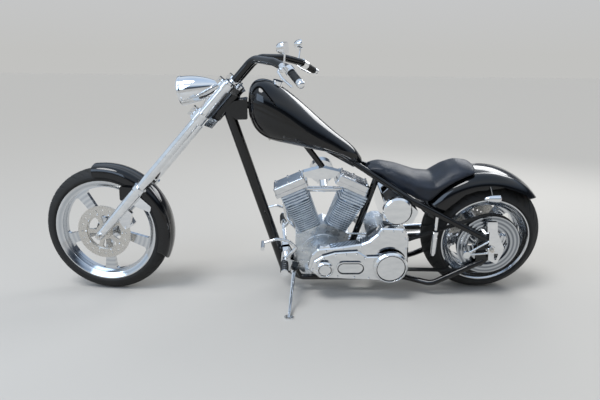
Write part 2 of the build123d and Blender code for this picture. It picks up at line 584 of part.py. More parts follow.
# Rear caliper on its bracket, right side
rear_caliper = Box(60, 44, 84)
rear_caliper = fillet(rear_caliper.edges().filter_by(Axis.Y), 8)
rear_caliper = Pos(-96, rear_disc_y + DISC_T / 2, REAR_AXLE.Z + 96) * Rot(Y=45) * rear_caliper
rear_caliper -= drum(0, REAR_AXLE.Z, rear_disc_y - 2, rear_disc_y + DISC_T + 2, REAR_DISC_R + 6)
hanger = across(outline(by_rear_axle([(-22, -20), (22, -20), (22, 22), (-70, 102), (-108, 72)]), 8), 148, 164)
keep("rear_caliper", FRAME, rear_caliper + hanger - rear_axle)

# Engine: crankcase on two feet, two finned cylinders, heads and rocker boxes
def from_crank(points):
    """Side-view points given back from and above the crank."""
    return [(CRANK[0] + x, CRANK[1] + z) for x, z in points]


foot_z = RAIL_Z + RAIL_R - 1
case = drum(*CRANK, -CASE_HALF, CASE_HALF, CASE_R)
case += across(outline(from_crank([(-148, -74), (-148, 138), (-6, 200), (6, 200), (144, 138), (130, 20), (108, -60),
                                   (88, -106), (-104, -110)]), 14), -CASE_HALF + 6, CASE_HALF - 6)
case += drum(*CRANK, CASE_HALF, CASE_HALF + 42, 78)
case += drum(CRANK[0] - 40, CRANK[1] + 60, CASE_HALF, CASE_HALF + 36, 52)
for foot_x in (-78, 82):
    case += Pos(CRANK[0] + foot_x, 0, foot_z + 15) * Box(36, 2 * RAIL_Y, 30)
case -= rails[-1] + rails[1]


def tipped(angle, shape):
    """A shape built up from the crank, tipped back by an angle."""
    return Pos(CRANK[0], 0, CRANK[1]) * Rot(Y=angle) * shape


# Width of the lowest and the highest cooling fin
FIN_SPREADS = (122.0, 150.0)


def cylinder():
    """A cylinder barrel with its cooling fins, standing on the crankcase."""
    fins = 13
    pitch = (HEAD_FOOT - DECK - 6) / fins
    barrel = Pos(0, 0, DECK) * Cylinder(56, HEAD_FOOT - DECK, align=FORK_LOW)
    for step in range(fins):
        spread = FIN_SPREADS[0] + (FIN_SPREADS[1] - FIN_SPREADS[0]) * step / fins
        plate = Pos(0, 0, DECK + 6 + step * pitch) * Box(spread, 132, pitch * 0.45, align=FORK_LOW)
        barrel += fillet(plate.edges().filter_by(Axis.Z), 30)
    return barrel


def cylinder_head():
    """A finned head, with a spark plug boss on its left face."""
    height = BOX_FOOT - HEAD_FOOT
    fins = 4
    body = Pos(0, 0, HEAD_FOOT) * Box(120, 112, height, align=FORK_LOW)
    for step in range(fins):
        body += Pos(0, 0, HEAD_FOOT + 5 + step * height / fins) * Box(138, 134, height / fins * 0.5, align=FORK_LOW)
    return body


def rocker_box(shift_back):
    """A two-step rocker box with a rounded lid."""
    step_z = BOX_FOOT + (BOX_TOP - BOX_FOOT) * 0.36
    lower = Pos(shift_back, 0, BOX_FOOT) * Box(184, 124, step_z - BOX_FOOT, align=FORK_LOW)
    lower = fillet(lower.edges().filter_by(Axis.Z), 10)
    upper = Pos(shift_back, 0, step_z) * Box(178, 118, BOX_TOP - step_z, align=FORK_LOW)
    upper = fillet(upper.edges().filter_by(Axis.Z), 12)
    upper = fillet(upper.edges().group_by(Axis.Z)[-1], 9)
    return lower + upper


front_barrel, rear_barrel = tipped(-VEE, cylinder()), tipped(VEE, cylinder())
front_cut = tipped(-VEE, Pos(0, 0, DECK) * Box(200, 200, 300, align=FORK_LOW))
rear_cut = tipped(VEE, Pos(0, 0, DECK) * Box(200, 200, 300, align=FORK_LOW))
case = case - front_cut - rear_cut + drum(*CRANK, -CASE_HALF, PRIMARY_IN, DRIVE_NOSE_R)
keep("crankcase", FRAME, case)
keep("cylinders", FRAME, pair(front_barrel, rear_barrel))
keep("cylinder_heads", FRAME, pair(tipped(-VEE, cylinder_head()), tipped(VEE, cylinder_head())))
keep("rocker_boxes", FRAME, pair(tipped(-VEE, rocker_box(BOX_SHIFTS[0])), tipped(VEE, rocker_box(BOX_SHIFTS[1]))))
keep("top_engine_mount", FRAME, top_mount - nodes["rocker_boxes"] - nodes["cylinder_heads"])
pushrods = Part()
for angle in (-VEE, VEE):
    for lean_x in (-26, 26):
        pushrods += tipped(angle, rod((lean_x * 0.6, 88, 68), (lean_x, 76, HEAD_FOOT - 2), 9))
keep("pushrod_tubes", FRAME, pushrods - case)

# Intake between the heads and the round air cleaner on the right
PORT_Z = CRANK[1] + 372
CLEANER_Z = CRANK[1] + 414
manifold = rod((CRANK[0] - 110, 0, PORT_Z), (CRANK[0] + 106, 0, PORT_Z), 15)
manifold += rod((CRANK[0], 0, PORT_Z), (CRANK[0], 96, PORT_Z + 20), 22)
manifold += Pos(CRANK[0], 122, CLEANER_Z - 16) * Box(62, 62, 62)
manifold += drum(CRANK[0], CLEANER_Z, 152, 212, 68)
keep("intake", FRAME, largest(
    manifold - nodes["cylinder_heads"] - front_barrel - rear_barrel - nodes["pushrod_tubes"] - nodes["rocker_boxes"]))

# Primary case in two ledges, clutch cover, inspection cover and front cover
case_points = [(-974, 214), (-955, 300), (-925, 334), (-836, 341), (-696, 364), (-655, 383), (-616, 422), (-598, 456),
               (-478, 452), (-450, 402), (-444, 300), (-440, 200), (-478, 158), (-538, 142), (-629, 150), (-909, 164)]
ledge_points = [(-962, 214), (-944, 270), (-900, 300), (-835, 321), (-715, 329), (-664, 296), (-538, 300), (-452, 240),
                (-462, 196), (-538, 148), (-629, 156), (-909, 170)]
primary_outline = outline(case_points, 12)
ledge_outline = outline(ledge_points, 12)
primary = across(primary_outline, PRIMARY_IN, PRIMARY_STEP)
primary = chamfer(primary.faces().sort_by(Axis.Y)[0].edges(), 7)
ledge = across(ledge_outline, PRIMARY_STEP + 1, PRIMARY_OUT)
ledge = chamfer(ledge.faces().sort_by(Axis.Y)[0].edges(), 5)
keep("primary_case", FRAME, primary + ledge)
clutch_cover = drum(*CLUTCH, PRIMARY_OUT, PRIMARY_OUT - 26, CLUTCH_R)
clutch_cover = chamfer(clutch_cover.faces().sort_by(Axis.Y)[0].edges(), 8)
clutch_cover -= drum(*CLUTCH, PRIMARY_OUT - 23, PRIMARY_OUT - 27, CLUTCH_R - 16)
window_cover = across(Pos(-749, 231) * SlotOverall(154, 80), PRIMARY_OUT, PRIMARY_OUT - 9)
window_cover -= across(Pos(-749, 231) * SlotOverall(134, 60), PRIMARY_OUT - 5, PRIMARY_OUT - 10)
front_cover = drum(CRANK[0], CRANK[1] + 14, PRIMARY_OUT, PRIMARY_OUT - 20, 46)
front_cover = chamfer(front_cover.faces().sort_by(Axis.Y)[0].edges(), 6)
keep("primary_covers", FRAME, Compound([*clutch_cover.solids(), *window_cover.solids(), *front_cover.solids()]))

# Gearbox, starter, oil tank and its round cover
BOX_LEFT, BOX_RIGHT = -112.0, 96.0
gearbox_outline = [(-655, 170), (-655, 380), (-600, 412), (-460, 412), (-432, 370), (-432, 170)]
gearbox = across(outline(gearbox_outline, 18), BOX_LEFT, BOX_RIGHT)
gearbox += drum(*CLUTCH, BOX_LEFT, BELT_IN + 2, 46)
for foot_x in (-620, -470):
    gearbox += Pos(foot_x, 0, (foot_z + 180) / 2) * Box(40, 2 * RAIL_Y + 8, 180 - foot_z)
gearbox -= rails[-1] + rails[1]
shift_rod = rod((CRANK[0] + 90, -60, CRANK[1] + 131), (-640, -60, CRANK[1] + 131), 5)
keep("gearbox", FRAME, gearbox + small_pulley + largest(shift_rod - case))
oil_tank = across(outline([(-585, 462), (-585, 590), (-500, 596), (-440, 562), (-398, 528), (-425, 462)], 10), -172, 120)
oil_tank += Pos(-530, 0, 435) * Box(60, 80, 70) - gearbox
keep("oil_tank", FRAME, oil_tank)
left_stay_room = bent([mirrored(p, -1) for p in (STAY_START, STAY_SPREAD, STAY_END)], [120], RAIL_R + SEAT_GAP)
end_cover = drum(-515, 540, -172, -206, 76)
end_cover = chamfer(end_cover.faces().sort_by(Axis.Y)[0].edges(), 9)
keep("drum_cover", FRAME, end_cover - left_stay_room)
canister = rod((-301, -STAY_Y, 288), (-301, -STAY_Y, 408), 14)
canister += rod((-301, -STAY_Y, 406), (-301, -STAY_Y, 420), 17) + rod((-301, -STAY_Y, 276), (-301, -STAY_Y, 290), 9)
canister += across(outline([(-307, 415), (-295, 415), (-295, 520), (-307, 520)], 0), -178, -186)
keep("breather_canister", FRAME, canister - stays[-1])

# Fuel tank: lofted through sections across the machine, from its nose to its tail
TANK_NOSE, TANK_TAIL = HEAD.X + 124, BACKBONE_END[0] + 30
# columns: share of the length, half width, then top, widest and bottom above the backbone's line
TANK = (
    (0.000, 46, 58, 10, -34),
    (0.030, 92, 112, 22, -78),
    (0.098, 122, 157, 33, -102),
    (0.229, 140, 183, 43, -93),
    (0.414, 138, 168, 54, -56),
    (0.616, 112, 131, 50, -20),
    (0.818, 72, 98, 48, 6),
    (1.000, 18, 48, 32, 22),
)


def tank_section(share, half, top, widest, bottom):
    """One section of the tank: a round crown over a tucked belly with a flat floor."""
    x = TANK_NOSE + share * (TANK_TAIL - TANK_NOSE)
    line = backbone_z(x)
    top, widest, bottom = line + top, line + widest, line + bottom
    floor_half = half * 0.62
    side_z = widest - (widest - bottom) * 0.55
    edges = [
        ThreePointArc((-half, widest), (0, top), (half, widest)),
        ThreePointArc((half, widest), (half * 0.95, side_z), (floor_half, bottom)),
        Line((floor_half, bottom), (-floor_half, bottom)),
        ThreePointArc((-floor_half, bottom), (-half * 0.95, side_z), (-half, widest))]
    return Plane(origin=(x, 0, 0), x_dir=(0, 1, 0), z_dir=(1, 0, 0)) * make_face(edges)


tank = loft([tank_section(*row) for row in TANK])
tunnel_r = BACKBONE_R + 3
backbone_way = (Vector(*BACKBONE_END) - Vector(*BACKBONE_TOP)).normalized()
tunnel_top = Vector(*BACKBONE_TOP) - backbone_way * 40
tunnel_end = Vector(*BACKBONE_END) + backbone_way * 80
tunnel = rod(tuple(tunnel_top), tuple(tunnel_end), tunnel_r)
slot_face = outline([(tunnel_top.X, tunnel_top.Z), (tunnel_end.X, tunnel_end.Z),
                     (tunnel_end.X, tunnel_end.Z - 300), (tunnel_top.X, tunnel_top.Z - 300)])
tunnel += across(slot_face, -tunnel_r, tunnel_r)
tank -= tunnel
for side in (-1, 1):
    tank -= rod(mirrored(STAY_START, side), mirrored(STAY_SPREAD, side), RAIL_R + SEAT_GAP)
keep("fuel_tank", FRAME, tank)
cap_x = TANK_NOSE + 0.24 * (TANK_TAIL - TANK_NOSE)
cap_z = backbone_z(cap_x) + 172
keep("tank_cap", FRAME, largest(rod((cap_x, 0, cap_z), (cap_x + 7, 0, cap_z + 26), 26) - tank))

# Rear fender, with a boss to each stay and its lamp tucked under the tail
RF_CENTRE = (-30.0, AXLE_Z + 10)
RF_R = REAR_TYRE_R + 49
RF_HALF = REAR_TYRE_HALF + 17
RF_T = 5.0
RF_START, RF_TAIL = 154.0, 52.0
RF_BOW = 104.0              # how far the tail is bowed out past the ends of its sides
rear_arc = spun(fender_section(RF_HALF, RF_R, RF_R - 92, 74.0, 6.0, RF_T), angle=RF_START - 30)
rear_fender = Rot(Y=90 - RF_START) * rear_arc - tail_cut(RF_TAIL, RF_R, RF_HALF, RF_BOW)
rear_fender = Pos(RF_CENTRE[0], 0, RF_CENTRE[1]) * rear_fender
hem = by_rear_axle([(-330, 120), (-290, 158), (-239, 185), (-203, 237), (-155, 282), (-95, 305), (-27, 311), (51, 322),
                    (106, 306), (175, 277), (215, 236), (215, -60), (-330, -60)])
rear_fender -= across(outline(hem), -RF_HALF - 5, RF_HALF + 5)
BOSS_X = -280.0
boss_share = (BOSS_X - STAY_SPREAD[0]) / (STAY_END[0] - STAY_SPREAD[0])
boss_z = STAY_SPREAD[2] + boss_share * (STAY_END[2] - STAY_SPREAD[2])
for side in (-1, 1):
    rear_fender += rod((BOSS_X, side * (RF_HALF - 4), boss_z), (BOSS_X, side * (STAY_Y - 8), boss_z), 10)
keep("rear_fender", FRAME, largest(rear_fender - stays[-1] - stays[1]))
LAMP_ANGLE = 43.0
tail_lamp = Rot(Y=90 - LAMP_ANGLE) * Pos(0, 0, RF_R - RF_T - 6) * Box(30, 84, 14)
tail_lamp = Pos(RF_CENTRE[0], 0, RF_CENTRE[1]) * tail_lamp
keep("tail_lamp", FRAME, largest(tail_lamp - nodes["rear_fender"]))

# Seat
# columns: x, half width, top, bottom
SEAT = (
    (-668, 62, 732, 702),
    (-600, 84, 744, 682),
    (-500, 118, 722, 628),
    (-390, 138, 684, 572),
    (-310, 140, 676, 560),
    (-240, 134, 730, 566),
    (-180, 126, 752, 600),
    (-110, 112, 742, 660),
    (-50, 90, 692, 676),
)


def seat_section(x, half, top, bottom):
    """One section of the seat: flat below and crowned on top."""
    crown = (top - bottom) * 0.3
    edges = [Line((-half, top - crown), (-half, bottom)), Line((-half, bottom), (half, bottom)),
             Line((half, bottom), (half, top - crown)),
             ThreePointArc((half, top - crown), (0, top), (-half, top - crown))]
    return Plane(origin=(x, 0, 0), x_dir=(0, 1, 0), z_dir=(1, 0, 0)) * make_face(edges)


seat = loft([seat_section(*row) for row in SEAT], ruled=True)
fender_room = Pos(RF_CENTRE[0], 0, RF_CENTRE[1]) * Rot(X=90) * Cylinder(RF_R + SEAT_GAP, 2 * RF_HALF + 10)
seat -= fender_room
for side in (-1, 1):
    seat -= bent([mirrored(p, side) for p in (STAY_START, STAY_SPREAD, STAY_END)], [120], RAIL_R + SEAT_GAP)
seat -= rod(POST_TOP, POST_FOOT, POST_R + SEAT_GAP)
seat -= rod((POST_TOP[0], -top_y, POST_TOP[2] - 3), (POST_TOP[0], top_y, POST_TOP[2] - 3), 14 + SEAT_GAP)
seat -= rod(tuple(tunnel_top), tuple(tunnel_end), tunnel_r)
seat -= oil_tank
keep("seat", FRAME, largest(seat))

# Exhaust pipes on the right
EXHAUST_R = 22.0
PIPE_END = -60.0
port_z = CRANK[1] + 330
front_pipe = bent([(CRANK[0] - 164, 30, port_z), (CRANK[0] - 208, 90, port_z - 20), (CRANK[0] - 190, 152, 350),
                   (CRANK[0] - 60, 152, 190), (PIPE_END, 232, 200)], [40, 60, 70], EXHAUST_R)
rear_pipe = bent([(CRANK[0] + 152, 30, port_z), (CRANK[0] + 200, 100, port_z - 20), (-700, 158, 350), (-600, 170, 252),
                  (PIPE_END, 232, 262)], [34, 40, 60], EXHAUST_R)
heads = nodes["cylinder_heads"]
keep("exhaust_pipes", FRAME, pair(
    largest(front_pipe - heads - front_barrel - nodes["pushrod_tubes"]),
    largest(rear_pipe - heads - rear_barrel - nodes["pushrod_tubes"] - nodes["seat_post"])))

# Forward controls on a mounting block at the foot of the downtube
foot_controls = []
control_block = outline(from_crank([(-232, -64), (-226, 22), (-184, 28), (-150, -40), (-166, -92), (-214, -112)]), 8)
for side in (-1, 1):
    block = across(control_block, side * 14, side * 66)
    beam = bent([(-1085, side * 40, 190), (-1100, side * 200, 262), (-1100, side * 330, 268)], [60], 12)
    peg = rod((-1100, side * 240, 266), (-1100, side * 350, 266), 19)
    pedal = bent([(-1036, side * 196, 330), (-1078, side * 204, 374), (-1140, side * 216, 392),
                  (-1212, side * 226, 372)], [40, 50], 7.5)
    link = rod((-1098, side * 196, 261), (-1036, side * 196, 330), 9)
    toe = rod((-1212, side * 216, 372), (-1212, side * 290, 372), 11)
    control = block + beam + peg + pedal + link + toe - nodes["downtube"] - rails[side] - case
    foot_controls.append(largest(control))
keep("foot_controls", FRAME, pair(*foot_controls))

# Turn signals at the back: bullets on short stalks from the fender's sides
SIGNAL = (-70.0, 12.0, AXLE_Z + 282)        # nose, tail and height
signal_half = make_face([
    Line((0, 0), (15, 0)), Line((15, 0), (15, 42)), ThreePointArc((15, 42), (9.5, 68), (0, 82)), Line((0, 82), (0, 0))])
signals = []
for side in (-1, 1):
    bullet = Pos(SIGNAL[1], side * 190, SIGNAL[2]) * Rot(Y=-90) * revolve(Plane.XZ * signal_half, Axis.Z)
    stalk = rod((-24, side * (RF_HALF - 8), SIGNAL[2] + 40), (-24, side * 190, SIGNAL[2]), 8) - nodes["rear_fender"]
    stalk = max(stalk.solids(), key=lambda solid: abs(solid.center().Y))
    signals.append(bullet + stalk)
keep("turn_signals", FRAME, pair(*signals))


def lowest(centre, axle_way, radius, crown):
    """Lowest point of a tyre whose tread is an arc, from its centre and the way its axle points."""
    return centre.Z - (radius - crown) * sqrt(1 - axle_way.Z ** 2) - crown


def leaned(pitch):
    """The turn that leans the machine over and lifts or drops its nose by a small angle."""
    return Rot(Y=pitch) * Rot(X=LEAN)


def moved_point(place, point):
    return Vector(*(place * Pos(*tuple(point))).position)


def wheel_lows(pitch):
    """How low each tyre reaches once the machine is leaned and pitched."""
    place = leaned(pitch)
    front_c = turned_front(FRONT_AXLE)
    axle_tip = turned_front(FRONT_AXLE + Vector(0, 1, 0))
    fc, ft = moved_point(place, front_c), moved_point(place, axle_tip)
    rc, rt = moved_point(place, REAR_AXLE), moved_point(place, REAR_AXLE + Vector(0, 1, 0))
    return (lowest(fc, ft - fc, FRONT_TYRE_R, FRONT_CROWN), lowest(rc, rt - rc, REAR_TYRE_R, REAR_CROWN))


def turned_front(point):
    """A point of the front end once the bars are turned."""
    arm = point - STEM_FOOT
    return STEM_FOOT + arm.rotate(Axis((0, 0, 0), FORK_UP), STEER_POSE)


pitch = 0.0
for step in range(6):
    front_low, rear_low = wheel_lows(pitch)
    pitch -= degrees((front_low - rear_low) / WHEELBASE)
front_low, rear_low = wheel_lows(pitch)
parked = Pos(0, 0, -rear_low) * leaned(pitch)

# Side stand: leg, pivot lugs and a flat foot on the ground
STAND_PIVOT = (-1046.0, -152.0, 168.0)
STAND_FOOT = (-1078.0, -468.0)
STAND_STOWED = (0.955, -0.10, -0.24)   # the way the leg points when it is folded back
PAD_T = 8.0
PAD_R = 24.0
PIN_R = 7.0
LUG_GAP = 12.5              # half the space between the two lugs
pivot_down = moved_point(parked, Vector(*STAND_PIVOT))
ankle = Vector(STAND_FOOT[0], STAND_FOOT[1], PAD_T / 2)
leg_way = (ankle - pivot_down).normalized()
stowed_way = (moved_point(parked, Vector(*STAND_STOWED)) - moved_point(parked, Vector(0, 0, 0))).normalized()
pivot_way = leg_way.cross(stowed_way).normalized()
stand_sweep = leg_way.get_angle(stowed_way)
hinge = Plane(origin=pivot_down, x_dir=leg_way, z_dir=pivot_way).location
leg = rod(tuple(pivot_down + leg_way * 8), tuple(ankle), 11, 8)
leg &= Pos(ankle.X, ankle.Y, 500) * Box(2000, 2000, 1000)
knuckle = hinge * Cylinder(16, 2 * LUG_GAP - 1)
pivot_bore = hinge * Cylinder(PIN_R + RUNNING, 80)
pad = Pos(ankle.X, ankle.Y, PAD_T / 2) * Cylinder(PAD_R, PAD_T)
side_stand = leg + knuckle - pivot_bore + pad
bodies[STAND].append("side_stand")
lugs = hinge * (Pos(0, 0, LUG_GAP + 4.5) * Cylinder(17, 9) + Pos(0, 0, -LUG_GAP - 4.5) * Cylinder(17, 9))
lug_arms = hinge * (Pos(-18, 0, LUG_GAP + 4.5) * Box(36, 30, 9) + Pos(-18, 0, -LUG_GAP - 4.5) * Box(36, 30, 9))
lug_block = hinge * Pos(-36, 0, 0) * Box(16, 34, 2 * LUG_GAP + 18)
pin = hinge * Cylinder(PIN_R, 2 * LUG_GAP + 24)
bracket_down = lugs + lug_arms + lug_block + pin
bracket_up = parked.inverse() * bracket_down
lug_root = Vector(*(parked.inverse() * hinge * Pos(-38, 0, 0)).position)
rails[-1] += bracket_up + rod(tuple(lug_root), (-1004, -RAIL_Y, RAIL_Z), 11)
for side, word in ((-1, "left"), (1, "right")):
    keep(f"lower_rail_{word}", FRAME, rails[side])

# Turn the front end, lean the machine and set its footprint about the origin
placed = {}
turn = Axis(STEM_FOOT, FORK_UP)
for name, shape in nodes.items():
    if name in bodies[STEERS] or name in bodies[FRONT_WHEEL]:
        shape = shape.rotate(turn, STEER_POSE)
    placed[name] = parked * shape
placed["side_stand"] = side_stand
boxes = [shape.bounding_box() for shape in placed.values()]
low_x, high_x = min(b.min.X for b in boxes), max(b.max.X for b in boxes)
low_y, high_y = min(b.min.Y for b in boxes), max(b.max.Y for b in boxes)
shift = Pos(-(low_x + high_x) / 2, -(low_y + high_y) / 2, 0)

os.makedirs("parts", exist_ok=True)
for name, shape in placed.items():
    export_step(shift * shape, f"parts/{name}.step")
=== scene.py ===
import json
import math

import bpy
import numpy as np
from mathutils import Matrix, Vector


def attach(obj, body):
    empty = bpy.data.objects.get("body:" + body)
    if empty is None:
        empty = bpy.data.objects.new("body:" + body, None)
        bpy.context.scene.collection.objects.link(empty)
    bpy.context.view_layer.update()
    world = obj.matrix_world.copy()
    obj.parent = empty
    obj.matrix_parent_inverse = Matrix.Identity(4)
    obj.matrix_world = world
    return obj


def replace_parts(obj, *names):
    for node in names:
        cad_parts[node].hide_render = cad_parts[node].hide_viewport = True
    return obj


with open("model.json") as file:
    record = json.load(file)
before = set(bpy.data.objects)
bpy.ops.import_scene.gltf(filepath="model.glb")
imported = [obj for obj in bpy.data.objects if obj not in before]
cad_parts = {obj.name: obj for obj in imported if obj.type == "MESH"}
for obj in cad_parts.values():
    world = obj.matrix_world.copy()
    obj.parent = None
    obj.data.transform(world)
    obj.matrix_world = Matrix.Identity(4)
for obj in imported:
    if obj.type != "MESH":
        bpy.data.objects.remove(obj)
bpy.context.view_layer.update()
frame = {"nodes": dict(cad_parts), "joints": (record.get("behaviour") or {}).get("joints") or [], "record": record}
joints = {joint["name"]: joint for joint in frame["joints"]}

# Shared with the solids: the fork's angle from upright, sizes in millimetres and the two ways across
RAKE = math.radians(40.8)
WHEELBASE = 2066.0
FRONT_TYRE_R = 346.0
REAR_TYRE_R = 328.0
LEFT = (0, -1, 0)
RIGHT = (0, 1, 0)
MM_IN_M = 1000


# Design frame: x back from the rear axle, y to the rider's right, z up from the ground, machine upright
def design_axes(across, fork_up):
    """Columns are the design x, y and z ways, from the cross axis and the raked fork line.

    The fork's own back is across crossed with its line. Back and up are those two, turned by the rake.
    """
    across = np.array(across, float)
    fork_up = np.array(fork_up, float)
    fork_back = np.cross(across, fork_up)
    back = fork_back * math.cos(RAKE) + fork_up * math.sin(RAKE)
    up = fork_up * math.cos(RAKE) - fork_back * math.sin(RAKE)
    return np.stack([back, across, up], axis=1)


MAIN_AXES = design_axes(joints["rear_wheel_spin"]["axis"], joints["steering_turn"]["axis"])
FRONT_AXES = design_axes(joints["front_wheel_spin"]["axis"], joints["steering_turn"]["axis"])
REAR_AXLE = np.array(joints["rear_wheel_spin"]["pos_m"], float)
FRONT_AXLE = np.array(joints["front_wheel_spin"]["pos_m"], float)


def on_frame(points):
    """Design points of the frame as row-frame points in metres: turned by its axes about the rear axle."""
    arm = (np.asarray(points, float) - [0, 0, REAR_TYRE_R]) / MM_IN_M
    return REAR_AXLE + arm @ MAIN_AXES.T


def on_front(points):
    """Design points of the unsteered front end in metres: turned by its own axes about the front axle."""
    arm = (np.asarray(points, float) - [-WHEELBASE, 0, FRONT_TYRE_R]) / MM_IN_M
    return FRONT_AXLE + arm @ FRONT_AXES.T


# Colours and shader nodes
def linear(code):
    """An sRGB hex colour as linear values with full alpha."""
    parts = [int(code[i:i + 2], 16) / 255 for i in (1, 3, 5)]
    return tuple(c / 12.92 if c <= 0.04045 else ((c + 0.055) / 1.055) ** 2.4 for c in parts) + (1.0,)


def wire(tree, node, inputs):
    """Sets a node's inputs to values, or links them to other nodes' sockets."""
    for key, value in inputs.items():
        if isinstance(value, bpy.types.NodeSocket):
            tree.links.new(value, node.inputs[key])
        else:
            node.inputs[key].default_value = value


def add(tree, kind, inputs=None, **settings):
    """Adds a node with its settings, and with values or links for its inputs."""
    made = tree.nodes.new(kind)
    for name, value in settings.items():
        setattr(made, name, value)
    wire(tree, made, inputs or {})
    return made


def blank(name):
    """A new material with its tree, its shader and the object's own coordinates."""
    material = bpy.data.materials.new(name)
    material.use_nodes = True
    tree = material.node_tree
    where = add(tree, "ShaderNodeTexCoord").outputs["Object"]
    return material, tree, tree.nodes["Principled BSDF"], where


# Noise seldom leaves this part of its range, so the part is spread over the whole way from low to high
MIDDLE = (0.35, 0.65)


def patches(tree, where, size_mm, detail, low, high, part=MIDDLE, squeeze=None):
    """Soft patches about size_mm wide that run from low to high, made narrower along an axis by squeeze."""
    if squeeze:
        where = add(tree, "ShaderNodeMapping", {"Vector": where, "Scale": squeeze}).outputs[0]
    cloud = add(tree, "ShaderNodeTexNoise", {"Vector": where, "Scale": MM_IN_M / size_mm, "Detail": detail})
    return add(tree, "ShaderNodeMapRange", {
        "Value": cloud.outputs["Fac"], "From Min": part[0], "From Max": part[1],
        "To Min": low, "To Max": high}).outputs["Result"]


def two_tones(tree, where, size_mm, detail, first, second, part=MIDDLE, squeeze=None):
    """Patches that run from one hex colour to another."""
    share = patches(tree, where, size_mm, detail, 0, 1, part, squeeze)
    return add(tree, "ShaderNodeMix", {0: share, 6: linear(first), 7: linear(second)},
               data_type="RGBA").outputs[2]


def grain(tree, where, size_mm, detail, depth_mm):
    """Relief of bumps about size_mm wide and depth_mm deep."""
    cloud = add(tree, "ShaderNodeTexNoise", {"Vector": where, "Scale": MM_IN_M / size_mm, "Detail": detail})
    return add(tree, "ShaderNodeBump", {
        "Height": cloud.outputs["Fac"], "Distance": depth_mm / MM_IN_M}).outputs["Normal"]


def black_enamel():
    """Black enamel sprayed under clear lacquer: deep, wet gloss with faint orange peel and polishing haze."""
    material, tree, shader, where = blank("black_enamel_lacquer")
    wire(tree, shader, {
        "Base Color": two_tones(tree, where, 90, 3, "#020203", "#050608"),
        "Roughness": patches(tree, where, 35, 3, 0.22, 0.32),
        "Specular IOR Level": 0.05, "Coat Weight": 1.0, "Coat Roughness": 0.02,
        "Normal": grain(tree, where, 3.5, 1, 0.012)})
    return material


def mirror_metal(name, high, low, rough_low, rough_high, wave_mm=30, wave_deep=0.03):
    """Plated or buffed metal: a mirror with faint wiping smears and a wave left in the base metal."""
    material, tree, shader, where = blank(name)
    wire(tree, shader, {
        "Base Color": two_tones(tree, where, 60, 3, high, low, squeeze=(1, 1, 2.6)), "Metallic": 1.0,
        "Roughness": patches(tree, where, 30, 3, rough_low, rough_high),
        "Normal": grain(tree, where, wave_mm, 1, wave_deep)})
    return material


def lathe_turned(name, centre, axes, ring_mm, depth_mm, land="#DCDEE0", groove_shade="#C2C6CB"):
    """Billet aluminium polished on the lathe: shallow concentric steps, and a colour painted from a light land to
    a darker groove in each ring as the steps' light and shade.

    The rings are ring_mm apart about the design y axis through the centre.
    """
    material, tree, shader, where = blank(name)
    on_axle = add(tree, "ShaderNodeMapping", {
        "Vector": where, "Location": centre.tolist(), "Rotation": tuple(Matrix(axes.tolist()).to_euler())},
        vector_type="TEXTURE").outputs[0]
    rings = add(tree, "ShaderNodeTexWave", {"Vector": on_axle, "Scale": math.pi / 10 / ring_mm * MM_IN_M},
                wave_type="RINGS", rings_direction="Y").outputs["Fac"]
    # Painted light and shade: the colour turns from the land's tone to the darker groove tone with each ring.
    wire(tree, shader, {
        "Base Color": add(tree, "ShaderNodeMix", {0: rings, 6: linear(land), 7: linear(groove_shade)},
                          data_type="RGBA").outputs[2],
        "Metallic": 1.0, "Roughness": patches(tree, where, 14, 3, 0.07, 0.15),
        "Normal": add(tree, "ShaderNodeBump", {"Height": rings, "Distance": depth_mm / MM_IN_M}).outputs[0]})
    return material


def bead_blasted():
    """Sand-cast aluminium blasted with glass beads: an even satin grey tinted blue as a painted reflection of the
    sky, with fine pits and duller patches.

    Real pits are some tenths of a millimetre wide, and are drawn coarser so that they show.
    """
    material, tree, shader, where = blank("bead_blasted_aluminium")
    pit_mm = 1.1
    wire(tree, shader, {
        # Both tones are tinted blue: a painted reflection of the sky on the grey casting.
        "Base Color": two_tones(tree, where, 40, 4, "#D9E2EB", "#B9C4D0"), "Metallic": 0.65,
        "Roughness": patches(tree, where, pit_mm, 3, 0.27, 0.44),
        "Normal": grain(tree, where, pit_mm, 3, 0.15)})
    return material


def ground_steel():
    """Ground brake steel: bright, with fine grinding marks and patches that braking has darkened.

    Real marks are a few tenths of a millimetre apart, and are drawn coarser so that they show.
    """
    material, tree, shader, where = blank("ground_brake_steel")
    mark_mm = 2.2
    wire(tree, shader, {
        "Base Color": two_tones(tree, where, mark_mm, 3, "#E4E1DC", "#C0BCB5"), "Metallic": 1.0,
        "Roughness": patches(tree, where, 9, 4, 0.22, 0.36),
        "Normal": grain(tree, where, mark_mm, 3, 0.03)})
    return material


def rubber(name, dark, dusty, dust_mm, rough):
    """Vulcanised rubber: nearly black, matt, with a film of dust in patches."""
    material, tree, shader, where = blank(name)
    wire(tree, shader, {
        "Base Color": two_tones(tree, where, dust_mm, 5, dark, dusty, part=(0.4, 0.75)),
        "Roughness": patches(tree, where, dust_mm, 5, rough - 0.08, rough + 0.1),
        "Normal": grain(tree, where, 1.4, 3, 0.06)})
    return material


def cowhide():
    """Waxed black cowhide over foam: pebbled grain, satin sheen, lighter where it is worn, and tinted blue all
    over as a painted reflection of the sky.

    Real pebbles are about 1.3 mm across, and are drawn at 2.2 mm so that they show.
    """
    material, tree, shader, where = blank("black_cowhide")
    pebble_mm, wear_mm = 2.2, 70
    pebbles = add(tree, "ShaderNodeTexVoronoi", {"Vector": where, "Scale": MM_IN_M / pebble_mm},
                  feature="SMOOTH_F1").outputs["Distance"]
    wire(tree, shader, {
        # Both hide tones are tinted blue: a painted reflection of the sky on the black hide.
        "Base Color": two_tones(tree, where, wear_mm, 3, "#0F1620", "#1A2331"),
        "Roughness": patches(tree, where, wear_mm, 3, 0.40, 0.50),
        "Specular IOR Level": 0.5, "Sheen Weight": 0.04, "Sheen Roughness": 0.4,
        "Normal": add(tree, "ShaderNodeBump", {"Height": pebbles, "Distance": 0.35 / MM_IN_M}).outputs[0]})
    return material


